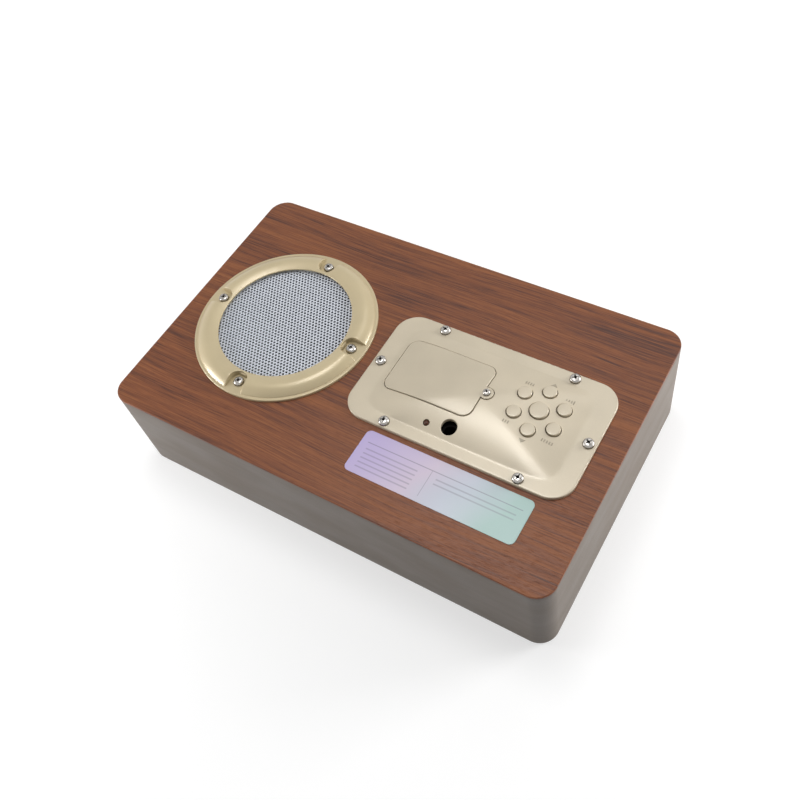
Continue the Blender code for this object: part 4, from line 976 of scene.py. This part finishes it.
class CLOCK_OT_speaker_trim(bpy.types.Operator):
    """Gold ring with its four screw pockets, and the perforated grille"""
    bl_idname = "clock.speaker_trim"
    bl_label = "Speaker trim"

    def execute(self, context):
        own = context.scene.clock_trim
        middle, outer = ring.centre, ring.size.x / 2
        floor = back_face + own.rim_height
        lip_width, lip_reach, lip_edge, rim_edge = 0.0006, 0.0024, 0.00025, 0.0005
        pocket_edge, pocket_gap, seam = 0.00035, 0.00004, 0.00015
        inner_margin, outer_margin, spacing = 0.0007, 0.0009, 0.00065
        around, under_sheet = 240, 1.2

        def bulge(radius):
            """Level of the ring's bulge at a distance from its middle."""
            if radius < own.crown_radius:
                share = (radius - own.opening_radius) / (own.crown_radius - own.opening_radius)
                foot, part = own.lip_height, math.sin(max(0.0, share) * math.pi / 2)
            else:
                share = (radius - own.crown_radius) / (own.shoulder_radius - own.crown_radius)
                foot, part = own.rim_height, math.cos(min(1.0, share) * math.pi / 2) ** 0.8
            return back_face + foot + (own.crown_height - foot) * part

        notched = self.notched_outline(own, middle)
        free = []
        for radius in np.arange(own.opening_radius + inner_margin, outer - outer_margin, spacing):
            free += [tuple(point) for point in circle(radius, middle, 400)]
        raised = inside(np.array(free), inset(notched, -seam))
        within = {place for place, kept in zip(free, raised) if kept}

        def top(x, y):
            radius = math.dist((x, y), middle)
            on_lip = radius < own.opening_radius + lip_width
            return bulge(radius) if on_lip or (x, y) in within else floor

        def under(x, y):
            over_sheet = math.dist((x, y), middle) < own.opening_radius + lip_reach
            return back_face + (own.lip_height - own.lip_thickness if over_sheet else hair)

        creases = [(notched, floor)]
        for drop, setback in quarter_round(pocket_edge, 4):
            creases.append((inset(notched, pocket_gap + setback), lambda x, y, drop=drop:
                            max(floor, bulge(math.dist((x, y), middle)) - drop)))
        opening = circle(own.opening_radius, middle, around)
        shell = moulded(circle(outer, middle, around), top, under, rim_edge, [opening], lip_edge,
                        free, spacing, creases)
        piece("speaker_trim_ring", [shell], gold_finish("Ring gold", own.gold, 0.34, 0.16),
              "gold_plastic", "speaker_ring", angle=40)

        box = Box("speaker_grille")
        radius, thick = box.size.x / 2, own.sheet_thickness
        face = box.high.z - own.sheet_drop
        rim = face - thick * under_sheet
        skirt = turned([(radius - thick, rim), (radius + hair / 2, rim), (radius, box.low.z),
                        (radius - thick, box.low.z)], middle, 144, True)
        white = speckled_finish("White powder coat", own.steel, 0.0006, 0.03, 0.42, 0.00002,
                                IOR=1.48)
        sheet = perforated_sheet(closed_mesh("speaker_mesh", skirt), radius, own,
                                 (*middle, face), white)
        piece("speaker_mesh", sheet, white, "white_steel", "speaker_grille")
        return {"FINISHED"}

    @staticmethod
    def notched_outline(own, middle):
        """Outline of the bulge with its four screw pockets."""
        half = own.pocket_width / 2
        mouth = math.asin(half / own.shoulder_radius)
        depth = own.shoulder_radius * math.cos(mouth) - own.pocket_circle
        steps = 10
        way_in = [(own.pocket_circle + depth * (1 - step / steps), -half)
                  for step in range(steps)]
        path = way_in + [(own.pocket_circle - point.y, -point.x)
                         for point in arc(half, 0, math.pi, steps=24)]
        path += [(x, half) for x, _ in reversed(way_in)]
        path += arc(own.shoulder_radius, mouth, math.pi / 2 - mouth, steps=90)[1:-1]
        return [middle + Matrix.Rotation(quarter * math.pi / 2, 2) @ Vector(place)
                for quarter in range(4) for place in path]


class CLOCK_OT_speaker_unit(bpy.types.Operator):
    """Finishes of the loudspeaker, and its surround, parted at the crest of its roll"""
    bl_idname = "clock.speaker_unit"
    bl_label = "Loudspeaker"

    def execute(self, context):
        for names, *looks in (
                (("speaker_cone", "speaker_dust_cap"), "Paper cone", linear(24, 23, 26), 0.0010,
                 0.3, 0.85, 0.00012),
                (("speaker_basket",), "Black enamel", linear(24, 24, 26), 0.0006, 0.2, 0.45),
                (("speaker_magnet",), "Ferrite", linear(58, 57, 58), 0.0008, 0.25, 0.7)):
            refinish(speckled_finish(*looks), *names)
        refinish(speckled_finish("Zinc plate", linear(176, 176, 172), 0.003, 0.12, 0.34,
                                 Metallic=0.9), "speaker_top_plate", "speaker_yoke")
        refinish(copper_finish(), "speaker_voice_coil")
        refinish(woven_finish("Amber spider cloth", linear(176, 128, 60)), "speaker_spider")
        rubber = speckled_finish("Rubber", linear(20, 20, 21), 0.0005, 0.2, 0.62)
        refinish(rubber, "speaker_gasket")

        own = context.scene.clock_surround
        box = Box("speaker_surround")
        edges = {1: box.size.x / 2, -1: Box("speaker_cone").size.x / 2 - own.land}
        inner, outer = edges[-1] + own.rim, edges[1] - own.rim
        crest, reach = (inner + outer) / 2, (outer - inner) / 2 - own.parting
        base, rise = box.low.z, box.size.z - own.skin
        for side, name, body, *stands_for in (
                (1, "surround_outer", "case", "speaker_surround"),
                (-1, "surround_inner", "speaker_cone")):
            start = crest + side * own.parting
            over, below = ([(start + side * point.y, level + rise * point.x / width)
                            for point in arc(width, 0, math.pi / 2, steps=10)]
                           for width, level in ((reach, base + own.skin), (reach - own.skin, base)))
            section = [*over, (edges[side], base + own.skin), (edges[side], base), *reversed(below)]
            piece(name, [turned(section, box.centre, 96, True)], rubber, "rubber", *stands_for,
                  body=body)
        return {"FINISHED"}


class CLOCK_OT_control_panel(bpy.types.Operator):
    """Gold panel with its raised middle, openings and small raised marks"""
    bl_idname = "clock.control_panel"
    bl_label = "Control panel"

    def execute(self, context):
        own = context.scene.clock_panel
        surface = panel_surface(own)
        spacing, rim_spacing, crown_spacing, crown_corner = 0.0011, 0.0015, 0.0012, 0.001
        edge, hole_edge = 0.0005, 0.00014
        holes = [cover_outline(own, own.cover_gap)]
        for name in button_names:
            radius = own.centre_radius if name == "button_centre" else own.button_radius
            holes.append(circle(radius + own.button_gap, Box(name).centre, 40))
        holes += [circle(own.jack_radius, Box("power_socket").centre, 40),
                  circle(own.lamp_radius, Box("indicator_lamp").centre, 28)]
        crown = divided(rounded_rectangle(own.crown_length, own.crown_width, crown_corner,
                                          steps=2), crown_spacing)
        creases = [([panel.centre + point * (share / crown_reach(*point, own)) for point in crown],
                    surface) for share in (0.955, 0.98, 1.0, 1.02, 1.045)]
        plate = moulded(divided(panel.outline(own.corner_radius), rim_spacing), surface,
                        lambda x, y: max(back_face + hair, surface(x, y) - own.wall), edge, holes,
                        hole_edge, panel.lattice(spacing, spacing), spacing, creases, steps=3)
        piece("control_plate", [plate], gold_finish("Panel gold", own.gold), "gold_plastic",
              "control_panel", angle=40)

        marks = []
        cluster = Box("button_centre").centre
        proud, root, mark_edge, mark_spacing = 0.00018, 0.0002, 0.00008, 0.0006
        tick_width, tick_corner, tick_pitch, stretch = 0.0006, 0.0002, 0.00125, 1.15

        def mark(outline, x, y):
            """One raised mark beside the buttons."""
            loop = [cluster + Vector((x, y)) + Vector(point) for point in outline]
            marks.append(moulded(divided(loop, mark_spacing), lambda x, y: surface(x, y) + proud,
                                 lambda x, y: surface(x, y) - root, mark_edge, steps=2))

        arrow = [(-0.0017, -0.0008), (0.0017, -0.0008), (0.0, 0.0011)]
        mark(arrow, 0.0, 0.0170)
        mark([(-x, -y) for x, y in arrow], 0.0, -0.0180)
        for x, y, heights in ((-0.0108, 0.0124, (0.0014,) * 4),
                              (0.0106, 0.0118, (0.0006, 0.0010, 0.0014, 0.0018)),
                              (-0.0112, -0.0122, (0.0014,) * 3),
                              (0.0104, -0.0130, (0.0014,) * 5)):
            for number, height in enumerate(heights):
                mark(rounded_rectangle(tick_width, height * stretch, tick_corner, steps=3),
                     x + (number - (len(heights) - 1) / 2) * tick_pitch, y)
        # Painted shade: the marks take the panel's gold at 0.62, standing for the small shadows
        # round the raised marks.
        piece("key_marks", marks, gold_finish("Mark gold", shade(own.gold, 0.62), 0.5),
              "gold_plastic")
        return {"FINISHED"}


class CLOCK_OT_battery_bay(bpy.types.Operator):
    """Battery cover with its tongues, the tray and the flat cell"""
    bl_idname = "clock.battery_bay"
    bl_label = "Battery bay"

    def execute(self, context):
        own = context.scene.clock_panel
        surface = panel_surface(own)
        box = Box("battery_cover")
        spacing, wall, lid_edge = 0.0012, 0.0015, 0.00028
        tongue_side, tongue_width = 0.008, 0.006
        outline = cover_outline(own)
        shells = [moulded(outline, lambda x, y: surface(x, y) + own.cover_proud,
                          lambda x, y: surface(x, y) - wall, lid_edge,
                          free=box.lattice(spacing), spacing=spacing)]
        left = min(point.x for point in outline)
        for side in (-tongue_side, tongue_side):
            for shift, long, radius, top, under, edge in (
                    (0.0004, 0.0032, 0.0004, 0.001, 0.0, 0.00015),
                    (0.0015, 0.001, 0.0003, 0.002, 0.0005, 0.0001)):
                tongue = rounded_rectangle(long, tongue_width, radius,
                                           (left + shift, box.centre.y + side), 4)
                shells.append(moulded(tongue, box.low.z + top, box.low.z + under, edge))
        piece("battery_lid", shells, gold_finish("Cover gold", shade(own.gold, 0.95)),
              "gold_plastic", "battery_cover", body="battery_cover", angle=40)
        refinish(speckled_finish("Black plastic", linear(38, 35, 34), 0.0007, 0.2, 0.5),
                 "battery_tray")
        cell = Box("backup_cell")
        spacing, sag, corner, rim_spacing, edge = 0.003, 0.0003, 0.003, 0.002, 0.0016
        pouch = moulded(divided(cell.outline(corner, 8), rim_spacing),
                        lambda x, y: cell.high.z - sag * (2 * (x - cell.centre.x)
                                                          / cell.size.x) ** 4,
                        cell.low.z, edge, free=cell.lattice(spacing), spacing=spacing)
        foil = streaked_finish("Shrink wrapped cell", (0.006, 0.0012, 0.004), 3.0,
                               ((0.35, linear(58, 92, 132)), (0.65, linear(84, 124, 166))),
                               (0.25, 0.4), 0.0002, IOR=1.5, Coat_Roughness=0.15, Coat_Weight=0.4)
        piece("flat_cell", [pouch], foil, "battery_foil", "backup_cell")
        return {"FINISHED"}


class CLOCK_OT_buttons(bpy.types.Operator):
    """Seven round caps with their collars and stems"""
    bl_idname = "clock.buttons"
    bl_label = "Buttons"

    def execute(self, context):
        own = context.scene.clock_panel
        gold = gold_finish("Button gold", shade(own.gold, 0.97))
        stem, collar_top, collar_foot = 0.0018, 0.0040, 0.0047
        dome, dome_reach, shoulder, shoulder_drop, rim_drop = 0.00008, 1.15, 0.8, 0.00007, 0.0001
        for name in button_names:
            box = Box(name)
            radius = own.centre_radius if name == "button_centre" else own.button_radius
            collar, top = box.size.x / 2, box.high.z
            crest = [(radius * share, top - dome * (share * dome_reach) ** 2)
                     for share in (0.0, 0.3, 0.55, 0.75)]
            skirt = filleted([(radius * shoulder, top - shoulder_drop),
                              (radius, top - rim_drop, own.button_round),
                              (radius, top - collar_top), (collar, top - collar_top),
                              (collar, top - collar_foot), (stem, top - collar_foot),
                              (stem, box.low.z)])
            cap = turned([*crest, *skirt, (0, box.low.z)], box.centre, 64)
            piece(name + "_cap", [cap], gold, "gold_plastic", name, body=name)
        return {"FINISHED"}


class CLOCK_OT_screws(bpy.types.Operator):
    """Pan head screws of the ring, the panel and the battery cover"""
    bl_idname = "clock.screws"
    bl_label = "Screws"

    def execute(self, context):
        own = context.scene.clock_screws
        nickel = nickel_finish(own)
        pocket_floor = back_face + context.scene.clock_trim.rim_height + hair
        flange = back_face + context.scene.clock_panel.flange_height + hair
        heads = {f"ring_screw_{number}": pocket_floor for number in range(1, 5)}
        heads.update({f"panel_screw_{number}": flange for number in range(1, 7)})
        places = [(*Box(name).centre, level, 0.0) for name, level in heads.items()]
        shank = 0.0088
        head = pan_head(own.head_radius, own.head_height, own.cross_length, own.cross_width,
                        shank)
        piece("pan_heads", set_out("Pan heads", head, places, nickel, math.pi, own.seed), nickel,
              "nickel", *heads)
        box = Box("cover_screw")
        height, cross_length, cross_width, turn = 0.0012, 0.0022, 0.0006, 0.6
        level = box.high.z - height
        head = pan_head(box.size.x / 2, height, cross_length, cross_width, level - box.low.z)
        head = set_out("Cover pan head", head, [(*box.centre, level, turn)], nickel)
        piece("cover_pan_head", head, nickel, "nickel", "cover_screw", body="battery_cover")
        return {"FINISHED"}


def pan_head(radius, height, cross_length, cross_width, shank_length):
    """A screw with a domed head and a cross recess. Its head stands on level 0."""
    half, reach = cross_width / 2, cross_length / 2
    tip, root, flare = half * 0.7, half * 1.5, half * 1.1
    rim_round, rim_level = height * 0.62, height * 0.34
    core, point_level = radius * 0.5, -shank_length * 0.85
    arm = [(reach, -tip), (reach, tip), (root, flare), (flare, root)]
    cross = [Matrix.Rotation(quarter * math.pi / 2, 2) @ Vector(place)
             for quarter in range(4) for place in arm]

    def dome(x, y):
        return height - 0.14 * height * (x * x + y * y) / radius ** 2

    def deep(x, y):
        return height * 0.42 + height * 0.38 * min(1.0, math.hypot(x, y) / reach)

    points, faces = moulded(
        circle(radius), dome, 0.0, rim_round, steps=6, free=[(0.0, 0.0)], spacing=0.00001,
        creases=[(cross, dome), (inset(cross, radius * 0.02), deep),
                 (inset(cross, half * 0.5), deep)])
    points = [(x, y, deep(x, y)) if math.hypot(x, y) < 1e-6 and z > 0 else (x, y, z)
              for x, y, z in points]
    shank = turned([(0, 0.0001), (core, 0.0001), (core, point_level), (0, -shank_length)],
                   steps=20)
    mesh = closed_mesh("pan_head", (points, faces), shank, angle=30)
    # Painted shade: shadow is 1 deep in the cross, more the deeper it sinks, and at the head's foot
    # below rim_level.
    shadow = []
    for vertex in mesh.vertices:
        x, y, z = vertex.co
        sunk = (dome(x, y) - z) / height if math.hypot(x, y) < reach * 1.02 else 0.0
        shadow.append(min(1.0, max(0.0, sunk * 4.0, 1.0 - z / rim_level)))
    mesh.attributes.new("shadow", "FLOAT", "POINT").data.foreach_set("value", shadow)
    return mesh


class CLOCK_OT_socket(bpy.types.Operator):
    """Power socket with its pin, and the indicator lamp"""
    bl_idname = "clock.socket"
    bl_label = "Socket and lamp"

    def execute(self, context):
        body, pin, lamp = (Box(name) for name in ("power_socket", "socket_pin", "indicator_lamp"))
        bore, bore_edge, outer_edge = 0.0032, 0.0004, 0.0003
        pin_radius, pin_round = 0.0010, 0.0005
        lamp_radius, lamp_dome, flange, flange_height = 0.0013, 0.0008, 0.0020, 0.001
        outer, floor, top = body.size.x / 2, pin.low.z, body.high.z
        section = filleted([(0, floor), (bore, floor), (bore, top, bore_edge),
                            (outer, top, outer_edge), (outer, body.low.z), (0, body.low.z)])
        black = speckled_finish("Dark socket plastic", linear(11, 7, 6), 0.001, 0.2, 0.60,
                                0.00001, Specular_IOR_Level=0.2)
        piece("socket_body", [turned(section, body.centre, 64)], black, "black_plastic",
              "power_socket")
        section = filleted([(0, pin.high.z), (pin_radius, pin.high.z, pin_round),
                            (pin_radius, floor), (0, floor)])
        brass = speckled_finish("Plated pin", linear(200, 192, 176), 0.0008, 0.1, 0.25,
                                Metallic=1.0)
        piece("contact_pin", [turned(section, body.centre, 32)], brass, "nickel", "socket_pin")
        section = [(point.y, lamp.high.z - lamp_dome * (1 - point.x / lamp_radius))
                   for point in arc(lamp_radius, 0, math.pi / 2, steps=8)]
        flange_top = lamp.low.z + flange_height
        section += [(lamp_radius, flange_top), (flange, flange_top), (flange, lamp.low.z),
                    (0, lamp.low.z)]
        amber = streaked_finish("Amber lamp", 0.0009, 2.0,
                                ((0.3, linear(58, 28, 10)), (0.7, linear(88, 44, 16))),
                                (0.26, 0.36), IOR=1.36)
        piece("lamp_lens", [turned(section, lamp.centre, 32)], amber, "lamp_glass",
              "indicator_lamp")
        return {"FINISHED"}


class CLOCK_OT_label(bpy.types.Operator):
    """Pearly label with plain rules"""
    bl_idname = "clock.label"
    bl_label = "Label"

    def execute(self, context):
        own = context.scene.clock_label
        box, headroom, edge = Box("rating_label"), 0.0001, 0.00006
        film = moulded(box.outline(own.corner_radius, 12), box.high.z - headroom,
                       back_face + hair / 2, edge, steps=2)
        piece("label_film", [film], label_finish(own, box), "label_film", "rating_label")
        return {"FINISHED"}


class CLOCK_OT_inner_parts(bpy.types.Operator):
    """Finishes of the circuit boards, key mat and leads"""
    bl_idname = "clock.inner_parts"
    bl_label = "Inner parts"

    def execute(self, context):
        refinish(circuit_finish("Circuit board"), "control_board", "display_board")
        refinish(speckled_finish("Grey silicone", linear(150, 150, 148), 0.0008, 0.06, 0.68),
                 "key_mat")
        refinish(speckled_finish("Lead skin", linear(52, 50, 50), (0.002, 0.0006, 0.0006), 0.2,
                                 0.45), "speaker_lead", "display_lead")
        return {"FINISHED"}


class CLOCK_OT_stage(bpy.types.Operator):
    """Floor, lights, surroundings and camera"""
    bl_idname = "clock.stage"
    bl_label = "Stage"

    def execute(self, context):
        scene, own = context.scene, context.scene.clock_stage
        scene.view_settings.view_transform = "Standard"
        disc = bpy.data.meshes.new("floor")
        floor_radius, floor_level, haze_start, haze_end = 4.0, -0.0001, 0.25, 0.95
        rim = circle(floor_radius, steps=96)
        disc.from_pydata([(*place, floor_level) for place in rim], [], [tuple(range(len(rim)))])
        floor = placed("floor", disc)
        paper = Finish("White floor", Roughness=0.9, Emission_Strength=1.0)
        paper.feed("Base Color", tint(own.floor))
        apart = paper.vector("LENGTH", paper.place, output=1)
        white = paper.between(apart, haze_start, haze_end, own.haze, 1.0)
        paper.feed("Emission Color", paper.mix(self.seen(paper), (0, 0, 0), white))
        disc.materials.append(paper.material)

        world = bpy.data.worlds.new("White room")
        world.use_nodes = True
        scene.world = world
        maker = NodeMaker(world.node_tree)
        way = maker.node("ShaderNodeTexCoord", output="Generated")
        bright_side, contrast, middle_level = (-0.35, 0.80, 0.49), 0.55, 0.85
        away = maker.node("ShaderNodeVectorMath", {0: way, 1: bright_side}, 1,
                          operation="DOT_PRODUCT")
        level = (away * contrast + middle_level) * own.ambient
        dim = maker.node("ShaderNodeCombineColor", dict.fromkeys(range(3), level))
        maker.join(maker.mix(self.seen(maker), dim, (1, 1, 1)),
                   world.node_tree.nodes["Background"].inputs["Color"])

        self.lamp("overhead", (-0.13, 0.15, 0.98), (0.30, 0.40), own.overhead)
        self.lamp("sheen", (-0.02, 0.60, 0.80), (0.36, 0.36), own.sheen)
        self.lamp("left", (-0.36, -0.24, 0.12), (0.14, 0.14), own.left)
        self.lamp("right", (0.60, 0.50, 0.32), (0.3, 0.3), own.right)
        self.lamp("side", (0.36, 0.17, 0.036), (0.24, 0.06), own.side)

        data = bpy.data.cameras.new("camera")
        data.lens = own.lens
        data.shift_x, data.shift_y = -0.0291, 0.0105
        data.clip_start = 0.01
        camera = placed("camera", data)
        right = Vector((0.8559, 0.5001, -0.1316)).normalized()
        ahead = Vector((-0.3752, 0.4255, -0.8235)).normalized()
        above = right.cross(ahead).normalized()
        turn = Matrix((right, above, -ahead)).transposed()
        camera.matrix_world = Matrix.Translation((0.1909, -0.1992, 0.4133)) @ turn.to_4x4()
        scene.camera = camera
        return {"FINISHED"}

    @staticmethod
    def seen(maker):
        """1 for what the camera, a mirror or a glass sees, else 0."""
        path = maker.node("ShaderNodeLightPath", output="Is Camera Ray")
        both = path.math("MAXIMUM", path.other("Is Glossy Ray"))
        return both.math("MAXIMUM", path.other("Is Transmission Ray"))

    @staticmethod
    def lamp(name, place, size, power):
        """A soft lamp that faces the clock."""
        data = bpy.data.lights.new(name, "AREA")
        data.shape = "RECTANGLE"
        data.size, data.size_y = size
        data.energy = power
        item = placed(name, data)
        item.location = place
        item.visible_camera = False
        item.rotation_euler = (-Vector(place)).to_track_quat("-Z", "Y").to_euler()


class CLOCK_PT_maker(bpy.types.Panel):
    """Buttons that build the clock piece by piece"""
    bl_idname = "CLOCK_PT_maker"
    bl_label = "Wooden desk clock"
    bl_space_type = "VIEW_3D"
    bl_region_type = "UI"
    bl_category = "Clock"

    def draw(self, context):
        for maker in makers:
            self.layout.operator(maker.bl_idname)


settings_groups = {"clock_case": CaseSettings, "clock_display": DisplaySettings,
                   "clock_trim": TrimSettings, "clock_surround": SurroundSettings,
                   "clock_panel": PanelSettings, "clock_screws": ScrewSettings,
                   "clock_label": LabelSettings, "clock_stage": StageSettings}
makers = (CLOCK_OT_stage, CLOCK_OT_case, CLOCK_OT_front, CLOCK_OT_speaker_trim,
          CLOCK_OT_speaker_unit, CLOCK_OT_control_panel, CLOCK_OT_battery_bay, CLOCK_OT_buttons,
          CLOCK_OT_screws, CLOCK_OT_socket, CLOCK_OT_label, CLOCK_OT_inner_parts)


def register():
    for group in (*settings_groups.values(), *makers, CLOCK_PT_maker):
        bpy.utils.register_class(group)
    for name, group in settings_groups.items():
        setattr(bpy.types.Scene, name, PointerProperty(type=group))


def unregister():
    for name in settings_groups:
        delattr(bpy.types.Scene, name)
    for group in reversed((*settings_groups.values(), *makers, CLOCK_PT_maker)):
        bpy.utils.unregister_class(group)


def main():
    register()
    bpy.ops.clock.stage()
    bpy.ops.clock.case()
    bpy.ops.clock.front()
    bpy.ops.clock.speaker_trim()
    bpy.ops.clock.speaker_unit()
    bpy.ops.clock.control_panel()
    bpy.ops.clock.battery_bay()
    bpy.ops.clock.buttons()
    bpy.ops.clock.screws()
    bpy.ops.clock.socket()
    bpy.ops.clock.label()
    bpy.ops.clock.inner_parts()


if __name__ == "__main__":
    main()
